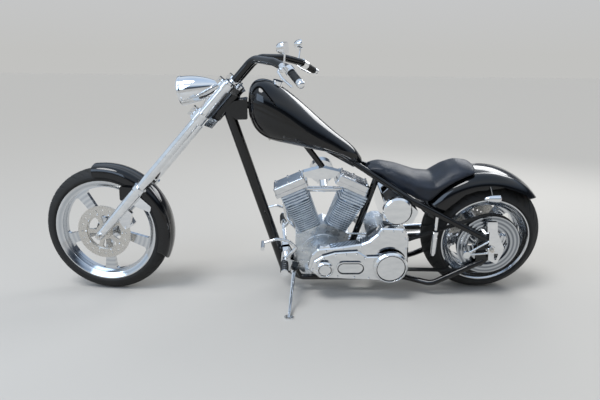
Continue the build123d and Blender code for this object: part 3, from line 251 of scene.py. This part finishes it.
def lens(name, colour, clear):
    """Pressed glass or moulded acrylic: smooth and see-through, with faint waves from the mould."""
    material, tree, shader, where = blank(name)
    wire(tree, shader, {
        "Base Color": linear(colour), "Transmission Weight": clear, "IOR": 1.5,
        "Roughness": patches(tree, where, 12, 2, 0.02, 0.07),
        "Normal": grain(tree, where, 9, 1, 0.04)})
    return material


# Chrome plating is nearly a perfect mirror, and mop-polished aluminium a softer one
LOOK_OF_SLOT = {
    "gloss_black": black_enamel(),
    "chrome": mirror_metal("plated_chrome", "#F1F2F3", "#E6E8EA", 0.03, 0.07),
    "polished_aluminium": mirror_metal("polished_aluminium", "#EAEAEB", "#DBDDDF", 0.10, 0.18),
    "cast_aluminium": bead_blasted(),
    "brake_steel": ground_steel(),
    "tyre_rubber": rubber("tyre_rubber", "#141414", "#2A2927", 55, 0.72),
    "black_rubber": rubber("moulded_rubber", "#101010", "#1B1B1B", 20, 0.6),
    "black_leather": cowhide(),
    "lamp_glass": lens("clear_lamp_glass", "#F4F8FA", 1.0),
    "red_lens": lens("red_lens", "#B01210", 0.35),
}
# On a buffed sand casting the wheel only rounds over the rough skin, so its mirror breaks into lumps
BUFFED = mirror_metal("buffed_casting", "#EDF0F2", "#CDD4DB", 0.24, 0.40, wave_mm=9, wave_deep=1.3)
LOOK_OF_NODE = {
    "crankcase": BUFFED,
    "gearbox": BUFFED,
    # The turned rings are painted light and dark, darkest in the pulley's grooves: painted shade.
    "front_rim": lathe_turned("lathe_polished_front_wheel", FRONT_AXLE, FRONT_AXES, 25, 0.25),
    "rear_rim": lathe_turned("lathe_polished_rear_wheel", REAR_AXLE, MAIN_AXES, 17, 0.45),
    "rear_pulley": lathe_turned("lathe_polished_pulley", REAR_AXLE, MAIN_AXES, 21, 2.0, "#C4C8CC", "#7E838A"),
}

for row in frame["record"]["subparts"]:
    solid = frame["nodes"][row["node"]]
    solid.data.materials.clear()
    solid.data.materials.append(LOOK_OF_NODE.get(row["node"], LOOK_OF_SLOT[row["material_slot"]]))


# Surfaces
def in_scene(name, data):
    """A new object that holds the data, in the scene."""
    made = bpy.data.objects.new(name, data)
    bpy.context.scene.collection.objects.link(made)
    return made


def grid_faces(rows, columns, wrap_rows, wrap_columns):
    """Quads of a grid of rows by columns points, wrapped round where it closes."""
    row = np.arange(rows if wrap_rows else rows - 1)[:, None]
    column = np.arange(columns if wrap_columns else columns - 1)[None, :]
    next_row = (row + 1) % rows
    next_column = (column + 1) % columns
    quads = np.stack([row * columns + column, row * columns + next_column,
                      next_row * columns + next_column, next_row * columns + column], axis=-1)
    return quads.reshape(-1, 4)


def surface(name, points, faces, slot, body, smooth=True):
    """Puts an array of points and an array of equal faces into a mesh that rides on a body."""
    mesh = bpy.data.meshes.new(name)
    points = np.asarray(points, float).reshape(-1, 3)
    corners = faces.shape[1]
    mesh.vertices.add(len(points))
    mesh.vertices.foreach_set("co", points.ravel())
    mesh.loops.add(faces.size)
    mesh.loops.foreach_set("vertex_index", faces.ravel().astype(np.int32))
    mesh.polygons.add(len(faces))
    mesh.polygons.foreach_set("loop_start", np.arange(0, faces.size, corners, dtype=np.int32))
    mesh.polygons.foreach_set("use_smooth", np.full(len(faces), smooth))
    mesh.update(calc_edges=True)
    mesh.validate()
    mesh.materials.append(LOOK_OF_SLOT[slot])
    piece = in_scene(name, mesh)
    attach(piece, body)
    return piece


def smooth_step(value, low, high):
    """0 below low, 1 above high, and an even curve between."""
    t = np.clip((value - low) / (high - low), 0, 1)
    return t * t * (3 - 2 * t)


# Tyres, in mm: how the bead sits in the rim, the wall's raised rings, and the tread's depth and slopes
RIM_FLANGE = 13.8
LIP_INSET = 3.0
FOOT_INSET = 6.3
WALL_RING = 1.2
TREAD_DEPTH = 5.0
GROOVE_SLOPE = 2.2
CENTRE_SLOPE = 2.5


def tyre_profile(radius, half, bead, rim_half, shoulder, drop, crown_steps):
    """Across and radius of a tyre's section.

    The crown is a circular arc that falls by drop at the shoulder. Each wall runs straight from the shoulder
    to the rim's lip, pushed out by a sine bulge and by two raised rings, and the bead closes the section.
    """
    crown_r = (shoulder ** 2 + drop ** 2) / (2 * drop)
    reach = math.asin(shoulder / crown_r)
    angle = np.linspace(-reach, reach, crown_steps)
    crown = np.stack([crown_r * np.sin(angle), radius - crown_r + crown_r * np.cos(angle)], axis=1)
    flange = bead + RIM_FLANGE
    t = np.linspace(0, 1, 16)[1:]
    straight = shoulder * (1 - t) + (rim_half - LIP_INSET) * t
    bulge = np.maximum((half - straight) * np.sin(np.pi * t) ** 0.8, 0) * 0.96
    rings = WALL_RING * (np.exp(-((t - 0.18) / 0.03) ** 2) + np.exp(-((t - 0.9) / 0.035) ** 2))
    wall = np.minimum(straight + bulge + rings, half)
    right = np.stack([wall, (radius - drop) * (1 - t) + flange * t], axis=1)
    foot = rim_half - FOOT_INSET
    inner = np.array([[foot, flange], [foot, bead + 0.3], [-foot, bead + 0.3], [-foot, flange]])
    left = right[::-1] * [-1, 1]
    return np.concatenate([crown, right, inner, left])


def tyre(name, node, centre, axes, body, section, turns, blocks, sweep_back, groove_mm):
    """A tyre: its section spun about the axle, with the tread sunk where curved grooves cross the crown.

    The grooves lean by a power of the way out to the shoulder, and the two sides are half a block apart.
    """
    profile = tyre_profile(**section)
    radius = section["radius"]
    turn = np.linspace(0, 2 * np.pi, turns, endpoint=False)[:, None]
    across = np.broadcast_to(profile[:, 0], (turns, len(profile)))
    out = np.abs(across) / section["shoulder"]
    lean = sweep_back * out ** 1.6 + np.sign(across) * math.pi / blocks * 0.5
    phase = (turn + lean) * blocks / (2 * np.pi)
    off = np.abs(phase - np.round(phase)) * 2 * np.pi / blocks * radius
    half_width = groove_mm * (1 - 0.45 * out) * 0.5
    swept = 1 - smooth_step(off, half_width, half_width + GROOVE_SLOPE)
    swept = swept * smooth_step(out, 0.1, 0.16) * (1 - smooth_step(out, 0.86, 0.98))
    centre_half = groove_mm * 0.35
    centre_groove = 1 - smooth_step(np.abs(across), centre_half, centre_half + CENTRE_SLOPE)
    is_crown = np.arange(len(profile)) < section["crown_steps"]
    reach = profile[:, 1] - np.maximum(swept, centre_groove) * TREAD_DEPTH * is_crown
    local = np.stack([reach * np.cos(turn), across, reach * np.sin(turn)], axis=-1) / MM_IN_M
    points = centre + local.reshape(-1, 3) @ axes.T
    faces = grid_faces(turns, len(profile), True, True)[:, ::-1]
    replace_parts(surface(name, points, faces, "tyre_rubber", body), node)


FRONT_SECTION = {"radius": FRONT_TYRE_R, "half": 57, "bead": 267, "rim_half": 50, "shoulder": 53, "drop": 38,
                 "crown_steps": 34}
REAR_SECTION = {"radius": REAR_TYRE_R, "half": 125, "bead": 229, "rim_half": 114, "shoulder": 119, "drop": 64,
                "crown_steps": 66}
tyre("front_tyre_treaded", "front_tyre", FRONT_AXLE, FRONT_AXES, "front_wheel", FRONT_SECTION,
     turns=600, blocks=44, sweep_back=0.16, groove_mm=5)
tyre("rear_tyre_treaded", "rear_tyre", REAR_AXLE, MAIN_AXES, "rear_wheel", REAR_SECTION,
     turns=640, blocks=36, sweep_back=0.30, groove_mm=7)


# Small turned parts
def turned(name, spots, profile, slot, body, sides=18, hexed=(), smooth=False):
    """Small turned parts in one mesh: a profile of radius and height, in mm, spun about each spot's axis.

    Rings listed in hexed are hexagons: their radius is multiplied by cos 30 over the cosine of the angle to
    the middle of the nearest flat.
    """
    profile = np.array(profile, float) / MM_IN_M
    angle = np.linspace(0, 2 * np.pi, sides, endpoint=False)
    shape = np.ones((len(profile), sides))
    shape[list(hexed)] = math.cos(math.pi / 6) / np.cos(angle % (math.pi / 3) - math.pi / 6)
    points, faces = [], []
    for origin, axis in spots:
        axis = np.asarray(axis, float) / np.linalg.norm(axis)
        side = np.cross(axis, [0.3, 0.2, 0.93] if abs(axis[2]) < 0.9 else [1, 0, 0])
        side /= np.linalg.norm(side)
        up = np.cross(axis, side)
        circle = np.cos(angle)[:, None] * side + np.sin(angle)[:, None] * up
        rings = profile[:, 0, None, None] * shape[:, :, None] * circle + profile[:, 1, None, None] * axis
        faces.append(grid_faces(len(profile), sides, False, True) + len(points) * len(profile) * sides)
        points.append(np.asarray(origin) + rings.reshape(-1, 3))
    return surface(name, np.concatenate(points), np.concatenate(faces), slot, body, smooth)


def spots_on(place, points, way):
    """Spots at design points, all facing one design way."""
    spots = place(points)
    facing = place(np.asarray(points, float) + np.asarray(way, float)) - spots
    return list(zip(spots, facing))


def round_pattern(x, y, z, radius, count, start):
    """Design points round a cross axis, from a start angle in degrees."""
    turn = np.radians(start + np.arange(count) * 360 / count)
    return np.stack([x + radius * np.cos(turn), np.full(count, y), z + radius * np.sin(turn)], axis=1)


def screws(name, spots, radius, body):
    """Bright socket-head cap screws at a list of spots: the rim of the head, then the hexagonal socket."""
    head = radius * 1.1
    rings = [(radius, -1), (radius, head * 0.85), (radius * 0.85, head), (radius * 0.6, head),
             (radius * 0.55, head * 0.35), (0.01, head * 0.35)]
    turned(name, spots, rings, "chrome", body, hexed=(3, 4))


def nuts(name, spots, flats, tall, body):
    """Chamfered nuts round the axle's bore, by the width across their flats."""
    bore = 12.9
    half = flats / 2 / math.cos(math.pi / 6)
    rings = [(half, -1), (half, tall - 2), (half * 0.88, tall), (bore, tall), (bore, tall * 0.5)]
    turned(name, spots, rings, "chrome", body, hexed=(0, 1))


# Primary drive: sizes of the case and its covers, and the screws round the ledge, the case and each cover
CRANK_X, CRANK_Z = -886.0, 214.0
CLUTCH_X, CLUTCH_Z = -538.0, 240.0
PRIMARY_OUT = -240.0
PRIMARY_STEP = -224.0
CLUTCH_FACE = PRIMARY_OUT - 26
FRONT_FACE = PRIMARY_OUT - 20
FRONT_COVER_Z = CRANK_Z + 14
ledge_spots = [(-948, 224), (-930, 262), (-890, 286), (-830, 307), (-775, 312), (-718, 315), (-677, 289),
               (-905, 184), (-815, 179), (-725, 174), (-648, 170)]
case_spots = [(-880, 323), (-790, 339), (-700, 351), (-650, 373), (-604, 413), (-588, 441), (-532, 440),
              (-487, 437), (-466, 396), (-459, 338)]
screws("primary_screws",
       spots_on(on_frame, [(x, PRIMARY_OUT, z) for x, z in ledge_spots], LEFT)
       + spots_on(on_frame, [(x, PRIMARY_STEP, z) for x, z in case_spots], LEFT),
       radius=4.6, body="frame")
clutch_ring = round_pattern(CLUTCH_X, CLUTCH_FACE, CLUTCH_Z, radius=79.5, count=5, start=18)
front_ring = round_pattern(CRANK_X, FRONT_FACE, FRONT_COVER_Z, radius=32, count=4, start=45)
screws("cover_screws", spots_on(on_frame, clutch_ring, LEFT) + spots_on(on_frame, front_ring, LEFT),
       radius=3.4, body="frame")
left_ring = round_pattern(CRANK_X, -72, CRANK_Z, radius=117, count=12, start=15)[2:8]
right_ring = round_pattern(CRANK_X, 114, CRANK_Z, radius=68, count=6, start=30)
screws("crankcase_screws", spots_on(on_frame, left_ring, LEFT) + spots_on(on_frame, right_ring, RIGHT),
       radius=5.0, body="frame")

# Rocker boxes: six screws down through each lid, the rear one set forward of its cylinder's line
VEE = math.radians(24.5)
LID_HEIGHT = 468.0
REAR_LID_SHIFT = -34
lid_spots = []
for tip, shift in ((-VEE, 0), (VEE, REAR_LID_SHIFT)):
    lid = [(CRANK_X + (shift + back) * math.cos(tip) + LID_HEIGHT * math.sin(tip), y,
            CRANK_Z - (shift + back) * math.sin(tip) + LID_HEIGHT * math.cos(tip))
           for back in (-72, 0, 72) for y in (-43, 43)]
    lid_spots += spots_on(on_frame, lid, (math.sin(tip), 0, math.cos(tip)))
screws("rocker_screws", lid_spots, radius=6.0, body="frame")

# Brakes, pulley and axle nuts
FRONT_X = -WHEELBASE
DISC_FACE = -66
PULLEY_FACE = -163
disc_ring = round_pattern(FRONT_X, DISC_FACE, FRONT_TYRE_R, radius=102, count=10, start=0)
screws("front_disc_screws", spots_on(on_front, disc_ring, LEFT), radius=4.2, body="front_wheel")
pulley_ring = round_pattern(0, PULLEY_FACE, REAR_TYRE_R, radius=36, count=5, start=0)
screws("pulley_screws", spots_on(on_frame, pulley_ring, LEFT), radius=5.0, body="rear_wheel")
nuts("front_axle_nuts",
     spots_on(on_front, [(FRONT_X, -131.5, FRONT_TYRE_R)], LEFT)
     + spots_on(on_front, [(FRONT_X, 131.5, FRONT_TYRE_R)], RIGHT), flats=32, tall=7, body="steering")
nuts("rear_axle_nuts",
     spots_on(on_frame, [(0, -211, REAR_TYRE_R)], LEFT)
     + spots_on(on_frame, [(0, 190, REAR_TYRE_R)], RIGHT), flats=38, tall=11, body="frame")
CALIPER_TURN = math.radians(30)
CALIPER_REACH = 150
CALIPER_FACE = -83.5
caliper_spots = []
for out, up in ((-20, -31), (20, -31), (-20, 31), (20, 31)):
    arm = CALIPER_REACH + out
    caliper_spots.append((FRONT_X + arm * math.cos(CALIPER_TURN) - up * math.sin(CALIPER_TURN), CALIPER_FACE,
                          FRONT_TYRE_R + arm * math.sin(CALIPER_TURN) + up * math.cos(CALIPER_TURN)))
screws("front_caliper_screws", spots_on(on_front, caliper_spots, LEFT), radius=4.6, body="steering")

# Fork: pinch screws through the clamp noses and a bright ring at each bar's foot
FORK_UP = np.array([math.sin(RAKE), 0, math.cos(RAKE)])
FORK_BACK = np.array([math.cos(RAKE), 0, -math.sin(RAKE)])
SIDES = {-1: "left", 1: "right"}


def on_fork(back, y, up):
    """Design point behind and up the fork line from the front axle."""
    return np.array([FRONT_X, 0, FRONT_TYRE_R]) + FORK_BACK * back + np.array([0, y, 0]) + FORK_UP * up


CLAMP_OUT = 123
BAR_OUT = 52
BAR_FOOT = 1080
pinch_spots, collar_spots = [], []
for side in SIDES:
    pinch = [on_fork(-46, side * CLAMP_OUT, 846), on_fork(-46, side * CLAMP_OUT, 870),
             on_fork(-42, side * CLAMP_OUT, 1063)]
    pinch_spots += spots_on(on_front, pinch, (0, side, 0))
    collar_spots += spots_on(on_front, [on_fork(8, side * BAR_OUT, BAR_FOOT)], (106, side * 10, 122))
screws("pinch_screws", pinch_spots, radius=5.0, body="steering")
turned("bar_collars", collar_spots, [(19.2, 4), (22, 5), (23, 8), (23, 16), (22, 19), (19.2, 20)],
       "chrome", "steering", sides=32, smooth=True)

# Grips: ribbed rubber sleeves with bright ends, and rubber rings on the foot pegs
SLEEVE_R = 12.8
SLEEVE_LONG = 84
RIB_PITCH = 12
GRIP_WAY = np.array([57.0, 102.0, -45.0])
GRIP_WAY /= np.linalg.norm(GRIP_WAY)
GRIP_START = on_fork(8, BAR_OUT, BAR_FOOT) + np.array([326, 264, 77])
grip_spots, peg_spots = [], []
for side in SIDES:
    grip_spots += spots_on(on_front, [(GRIP_START + GRIP_WAY * 6) * [1, side, 1]], GRIP_WAY * [1, side, 1])
    peg = [(-1100, side * (256 + 19 * step), 266) for step in range(5)]
    peg_spots += spots_on(on_frame, peg, (0, side, 0))
along = np.linspace(0, SLEEVE_LONG, SLEEVE_LONG + 1)
ribs = 16.2 + 1.5 * np.abs(np.sin(along * math.pi / RIB_PITCH)) ** 0.6
sleeve = turned("ribbed_grips", grip_spots, [(SLEEVE_R, 0), *zip(ribs, along), (SLEEVE_R, SLEEVE_LONG)],
                "black_rubber", "steering", sides=32, smooth=True)
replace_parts(sleeve, "grips")
turned("grip_ends", grip_spots,
       [(SLEEVE_R, 83), (17, 83.5), (18, 86), (18, 92), (16.8, 94), (16.8, 98), (18, 100), (18, 107),
        (16.6, 112), (12, 117), (6, 119.5), (0.01, 120)],
       "chrome", "steering", sides=32, smooth=True)
turned("peg_rings", peg_spots, [(19.1, -5), (21.4, -4), (21.8, 0), (21.4, 4), (19.1, 5)],
       "black_rubber", "frame", sides=28, smooth=True)

# Fuel tap under the tank
turned("tank_tap", spots_on(on_frame, [(-1176, -60, 899)], (0, 0, -1)),
       [(9, -12), (9, 2), (12, 3), (12, 9), (8, 10), (6, 20), (0.01, 20.5)], "brake_steel", "frame", sides=20)

# Headlamp rim, rolled over the edge of the glass
lamp_face = on_fork(0, 0, 884) + np.array([-140.6, 0, 91.8])
turned("headlamp_rim", spots_on(on_front, [lamp_face], (-214, 0, -39)),
       [(72.8, -14), (74.6, -11), (75.4, -6), (75.2, 0), (73.4, 3.2), (70.5, 4), (68.2, 2.4), (67.6, -2)],
       "chrome", "steering", sides=72, smooth=True)


# Covers: a chrome bead round each of the two round ones with a dark ring inside it, and a dark ring round the oval
# one: the dark rings are painted shade of the covers' steps and recess
def tube_ring(name, path, radius, slot, body, sides=10):
    """A closed tube: circles of one radius set square to a path that closes on itself."""
    ahead = np.roll(path, -1, axis=0) - np.roll(path, 1, axis=0)
    ahead /= np.linalg.norm(ahead, axis=1, keepdims=True)
    level = np.cross(ahead, MAIN_AXES[:, 1])
    out = np.cross(ahead, level)
    turn = np.linspace(0, 2 * np.pi, sides, endpoint=False)[None, :, None]
    rings = path[:, None] + radius / MM_IN_M * (np.cos(turn) * level[:, None] + np.sin(turn) * out[:, None])
    surface(name, rings, grid_faces(len(path), sides, True, True), slot, body)


def oval(x, y, z, straight, radius, steps):
    """Points round a slot shape on the frame: two half circles whose centres are straight apart."""
    turn = np.linspace(-np.pi / 2, 3 * np.pi / 2, steps, endpoint=False)
    shift = np.where(np.cos(turn) > 0, straight / 2, -straight / 2)
    ring = np.stack([x + shift + radius * np.cos(turn), np.full(steps, y), z + radius * np.sin(turn)], axis=1)
    return on_frame(ring)


# The dark rubber rings inside the beads are painted shade where the covers step down.
SHADE_RING_INSET = 4.4
for name, x, y, z, radius in (("clutch_cover", CLUTCH_X, CLUTCH_FACE, CLUTCH_Z, 79),
                              ("front_cover", CRANK_X, FRONT_FACE, FRONT_COVER_Z, 37)):
    bead = oval(x, y, z, straight=0, radius=radius, steps=96)
    painted_shade_ring = oval(x, y, z, straight=0, radius=radius - SHADE_RING_INSET, steps=96)
    tube_ring(name + "_bead", bead, 2.6, "chrome", "frame")
    tube_ring(name + "_painted_shade_ring", painted_shade_ring, 1.8, "black_rubber", "frame")
# Dark ring round the oval cover's recess: painted shade.
painted_shade_ring = oval(-749, PRIMARY_OUT - 8.6, 231, straight=74, radius=31, steps=72)
tube_ring("oval_painted_shade_ring", painted_shade_ring, 2.4, "black_rubber", "frame")

# Mirrors: domed backs and the glass
MIRROR_HALF_WIDE = 46
MIRROR_HALF_TALL = 26
MIRROR_TILT = math.radians(8)
DOME_RINGS = 14
DOME_SIDES = 48


def mirror_dome(side, depth, share, start):
    """A dome over the mirror's rounded outline: an ellipse in depth over a superellipse of power 3.

    It faces back, and is tipped a little upward and swung a little outward.
    """
    out = np.linspace(1, 0.001, DOME_RINGS)[:, None]
    turn = np.linspace(0, 2 * np.pi, DOME_SIDES, endpoint=False)[None, :]
    edge = (np.abs(np.cos(turn)) ** 3 + np.abs(np.sin(turn)) ** 3) ** (-1 / 3)
    y = MIRROR_HALF_WIDE * share * out * edge * np.cos(turn)
    z = MIRROR_HALF_TALL * share * out * edge * np.sin(turn)
    x = start + depth * np.sqrt(1 - out ** 2) * np.ones_like(y)
    tip = -MIRROR_TILT
    x, z = x * math.cos(tip) + z * math.sin(tip), z * math.cos(tip) - x * math.sin(tip)
    swing = MIRROR_TILT * side
    x, y = x * math.cos(swing) - y * math.sin(swing), x * math.sin(swing) + y * math.cos(swing)
    centre = (GRIP_START + GRIP_WAY * 24 + np.array([-40, 0, 118])) * [1, side, 1]
    return on_front(np.stack([x, y, z], axis=-1).reshape(-1, 3) + centre)


dome_faces = grid_faces(DOME_RINGS, DOME_SIDES, False, True)
for side, word in SIDES.items():
    back = mirror_dome(side, depth=-36, share=1.0, start=-3.6)
    glass = mirror_dome(side, depth=0.6, share=0.9, start=4.5)
    surface(f"mirror_back_{word}", back, dome_faces[:, ::-1], "chrome", "steering")
    surface(f"mirror_glass_{word}", glass, dome_faces, "chrome", "steering")

# Turn signals: bullet shells with a lens behind, on tapered stems
signal_spots, stem_spots = [], []
for side in SIDES:
    tail = np.array([14, side * 190, 610])
    root = np.array([-24, side * 140, 650])
    signal_spots += spots_on(on_frame, [tail], (-1, 0, 0))
    stem_spots += spots_on(on_frame, [root], np.array([-24, side * 190, 610]) - root)
reach = np.linspace(0, 1, 22)
shell = [(15.5, 2), (18.4, 0), *zip(19.5 * np.sqrt(1 - reach ** 2.3 + 1e-6), 4 + 80 * reach)]
bullets = turned("signal_shells", signal_spots, shell, "chrome", "frame", sides=36, smooth=True)
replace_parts(bullets, "turn_signals")
turned("signal_lenses", signal_spots, [(0.01, -6), (6, -5.6), (12, -4), (16, -1), (16.2, 3)],
       "red_lens", "frame", sides=36, smooth=True)
turned("signal_stems", stem_spots, [(8, -4), (6.6, 10), (6, 30), (6.5, 52), (8, 64)],
       "gloss_black", "frame", smooth=True)

# Eased edges on machined, cast and folded pieces, in metres, wider on the forgings of the steering
EASED = 0.0014
FORGED = {"lower_fork_tree": 0.005, "upper_fork_tree": 0.003, "steering_head": 0.005}
for node in ("crankcase", "primary_case", "primary_covers", "rocker_boxes", "gearbox", "oil_tank",
             "front_caliper", "rear_caliper", "axle_bracket", "top_engine_mount", "foot_controls",
             "fender_straps", *FORGED):
    eased = frame["nodes"][node].modifiers.new("eased_edges", "BEVEL")
    eased.width = FORGED.get(node, EASED)
    eased.segments = 3
    eased.limit_method = "ANGLE"
    eased.angle_limit = math.radians(38)

# Seat: mesh size and greatest swell in metres, and how the foam is eased and blown up
SEAT_VOXEL = 0.005
EASE_ROUNDS = 34
AIR_PRESSURE = 4.0
CLOTH_STEPS = 20
SWELL_CAP = 0.005


def baked(piece):
    """The piece's mesh as its modifiers leave it."""
    bpy.context.view_layer.update()
    return bpy.data.meshes.new_from_object(piece.evaluated_get(bpy.context.evaluated_depsgraph_get()))


def swap_mesh(piece, mesh):
    """Gives a piece the finished mesh and takes its modifiers off."""
    old = piece.data
    piece.modifiers.clear()
    piece.data = mesh
    bpy.data.meshes.remove(old)


def points_of(mesh):
    """A mesh's points as an array."""
    co = np.empty(len(mesh.vertices) * 3)
    mesh.vertices.foreach_get("co", co)
    return co.reshape(-1, 3)


def cushion(name, node, body, slot):
    """Foam under hide: the solid's form eased, then blown up as cloth with each point's move capped."""
    piece = in_scene(name, frame["nodes"][node].data.copy())
    piece.modifiers.new("even", "REMESH").voxel_size = SEAT_VOXEL
    ease = piece.modifiers.new("ease", "SMOOTH")
    ease.factor = 0.8
    ease.iterations = EASE_ROUNDS
    swap_mesh(piece, baked(piece))
    start = points_of(piece.data)
    cloth = piece.modifiers.new("foam", "CLOTH")
    cloth.settings.use_pressure = True
    cloth.settings.uniform_pressure_force = AIR_PRESSURE
    cloth.settings.effector_weights.gravity = 0.0
    for step in range(1, CLOTH_STEPS + 1):
        bpy.context.scene.frame_set(step)
    blown = baked(piece)
    move = points_of(blown) - start
    length = np.linalg.norm(move, axis=1, keepdims=True)
    move *= np.minimum(1, SWELL_CAP / np.maximum(length, 1e-9))
    blown.vertices.foreach_set("co", (start + move).ravel())
    swap_mesh(piece, blown)
    bpy.context.scene.frame_set(1)
    finer = piece.modifiers.new("finer", "SUBSURF")
    finer.levels = 1
    finer.render_levels = 1
    swap_mesh(piece, baked(piece))
    piece.data.materials.clear()
    piece.data.materials.append(LOOK_OF_SLOT[slot])
    piece.data.polygons.foreach_set("use_smooth", np.ones(len(piece.data.polygons), dtype=bool))
    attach(piece, body)
    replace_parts(piece, node)


cushion("seat_cushion", "seat", "frame", "black_leather")


# Floor and backdrop
def shown_rays(tree):
    """1 for camera, transmission and glossy rays, which see floor and backdrop as painted, otherwise 0."""
    ray = add(tree, "ShaderNodeLightPath").outputs
    through = add(tree, "ShaderNodeMath", {0: ray["Is Camera Ray"], 1: ray["Is Transmission Ray"]},
                  operation="MAXIMUM").outputs[0]
    return add(tree, "ShaderNodeMath", {0: through, 1: ray["Is Glossy Ray"]}, operation="MAXIMUM").outputs[0]


def studio_floor():
    """Plain matt floor that keeps the shadow: pale where it is seen or mirrored.

    For all other light it is a mid grey, so that less is thrown up at the machine.
    """
    material, tree, shader = blank("pale_floor")[:3]
    tone = add(tree, "ShaderNodeMix", {0: shown_rays(tree), 6: linear("#8C8B89"), 7: linear("#C9C7C3")},
               data_type="RGBA").outputs[2]
    wire(tree, shader, {"Base Color": tone, "Roughness": 0.9, "Specular IOR Level": 0.1})
    return material


FLOOR_HALF = 30.0
floor_corners = [(-FLOOR_HALF, -FLOOR_HALF, 0), (FLOOR_HALF, -FLOOR_HALF, 0), (FLOOR_HALF, FLOOR_HALF, 0),
                 (-FLOOR_HALF, FLOOR_HALF, 0)]
floor_mesh = bpy.data.meshes.new("floor")
floor_mesh.from_pydata(floor_corners, [], [(0, 1, 2, 3)])
floor_mesh.materials.append(studio_floor())
in_scene("floor", floor_mesh)

# From the horizon up: the floor's own pale tone, a dark band that gives metal its contrast, then open sky
SKY_STOPS = ((0.0, "#C2C2C0"), (0.09, "#C5C6C7"), (0.17, "#59616B"), (0.34, "#353C47"), (0.47, "#A9BDD6"),
             (0.66, "#E4EEFA"), (1.0, "#BCD2EE"))
# Camera rays climb the ramp no further than this, so that the picture's backdrop is plain
SEEN_TOP = 0.08


def studio_sky():
    """The world: a ramp by height for what is seen and mirrored, and an even light for everything else.

    Straight ahead of the machine, all but camera rays meet open sky in place of the dark band.
    """
    world = bpy.data.worlds.new("studio")
    world.use_nodes = True
    air = world.node_tree
    way = add(air, "ShaderNodeTexCoord").outputs["Generated"]
    ways = add(air, "ShaderNodeSeparateXYZ", {"Vector": way}).outputs
    camera_ray = add(air, "ShaderNodeLightPath").outputs["Is Camera Ray"]
    ceiling = add(air, "ShaderNodeMath", {0: 1 + SEEN_TOP, 1: camera_ray}, operation="SUBTRACT").outputs[0]
    height = add(air, "ShaderNodeMath", {0: ways["Z"], 1: ceiling}, operation="MINIMUM").outputs[0]
    bands = add(air, "ShaderNodeValToRGB", {"Fac": height})
    stops = bands.color_ramp.elements
    stops[0].color = linear(SKY_STOPS[0][1])
    stops[1].color = linear(SKY_STOPS[-1][1])
    for position, shade in SKY_STOPS[1:-1]:
        stops.new(position).color = linear(shade)
    ahead = add(air, "ShaderNodeMapRange", {"Value": ways["X"], "From Min": -0.45, "From Max": -0.8})
    open_sky = add(air, "ShaderNodeMath", {0: ahead.outputs["Result"], 1: camera_ray},
                   operation="SUBTRACT", use_clamp=True).outputs[0]
    backdrop = add(air, "ShaderNodeMix", {0: open_sky, 6: bands.outputs["Color"], 7: linear("#CBDAEA")},
                   data_type="RGBA").outputs[2]
    painted = air.nodes["Background"]
    wire(air, painted, {"Color": backdrop, "Strength": 1.0})
    even = add(air, "ShaderNodeBackground", {"Color": linear("#D2D6DA"), "Strength": 0.72})
    choose = add(air, "ShaderNodeMixShader", {0: shown_rays(air), 1: even.outputs[0], 2: painted.outputs[0]})
    wire(air, air.nodes["World Output"], {"Surface": choose.outputs[0]})
    return world


bpy.context.scene.world = studio_sky()


# Lamps
def aim(made, way):
    """Turns a lamp so that it shines along a way."""
    made.rotation_mode = "QUATERNION"
    made.rotation_quaternion = Vector(way).to_track_quat("-Z", "Y")


def soft_box(name, place, target, size, power, colour="#FFFFFF"):
    """A soft rectangular lamp that faces a point."""
    data = bpy.data.lights.new(name, "AREA")
    data.shape = "RECTANGLE"
    data.size, data.size_y = size
    data.energy = power
    data.color = linear(colour)[:3]
    made = in_scene(name, data)
    made.location = place
    made.visible_camera = False
    aim(made, Vector(target) - Vector(place))


soft_box("side_box", (-3.2, -3.4, 3.2), (-0.3, 0, 0.6), (3.4, 2.6), 84, "#C4DAF6")
soft_box("rim_box", (2.6, 3.0, 2.8), (0.4, 0, 0.6), (2.4, 1.2), 48)
sun_data = bpy.data.lights.new("high_sun", "SUN")
sun_data.energy = 1.5
sun_data.angle = math.radians(24)
aim(in_scene("high_sun", sun_data), (0.35, 0.35, -1.0))

# Camera, fitted to both wheels and the ground line: place from the rear axle, in metres
FOCAL_PX = 582.4
PHOTO_WIDTH = 600
SENSOR_MM = 36.0
CAMERA_OFFSET = np.array([-1.1357, -3.1111, 0.9747])
CAMERA_YAW = math.radians(-2.17)
CAMERA_PITCH = math.radians(-14.28)
CAMERA_ROLL = math.radians(-0.61)


def turn_about(axis, angle):
    """The matrix that turns by an angle about x, y or z."""
    first, second = {"x": (1, 2), "y": (2, 0), "z": (0, 1)}[axis]
    matrix = np.eye(3)
    matrix[first, first] = matrix[second, second] = math.cos(angle)
    matrix[first, second] = -math.sin(angle)
    matrix[second, first] = math.sin(angle)
    return matrix


basis = turn_about("z", CAMERA_YAW) @ turn_about("x", CAMERA_PITCH) @ turn_about("y", CAMERA_ROLL)
camera_data = bpy.data.cameras.new("photo_camera")
camera_data.sensor_width = SENSOR_MM
camera_data.lens = FOCAL_PX / PHOTO_WIDTH * SENSOR_MM
camera_data.shift_x = 1 / PHOTO_WIDTH
camera = in_scene("photo_camera", camera_data)
pose = np.eye(4)
pose[:3, :3] = np.stack([basis[:, 0], basis[:, 2], -basis[:, 1]], axis=1)
pose[:3, 3] = REAR_AXLE + CAMERA_OFFSET
camera.matrix_world = Matrix(pose.tolist())
bpy.context.scene.camera = camera
bpy.context.scene.view_settings.view_transform = "Standard"
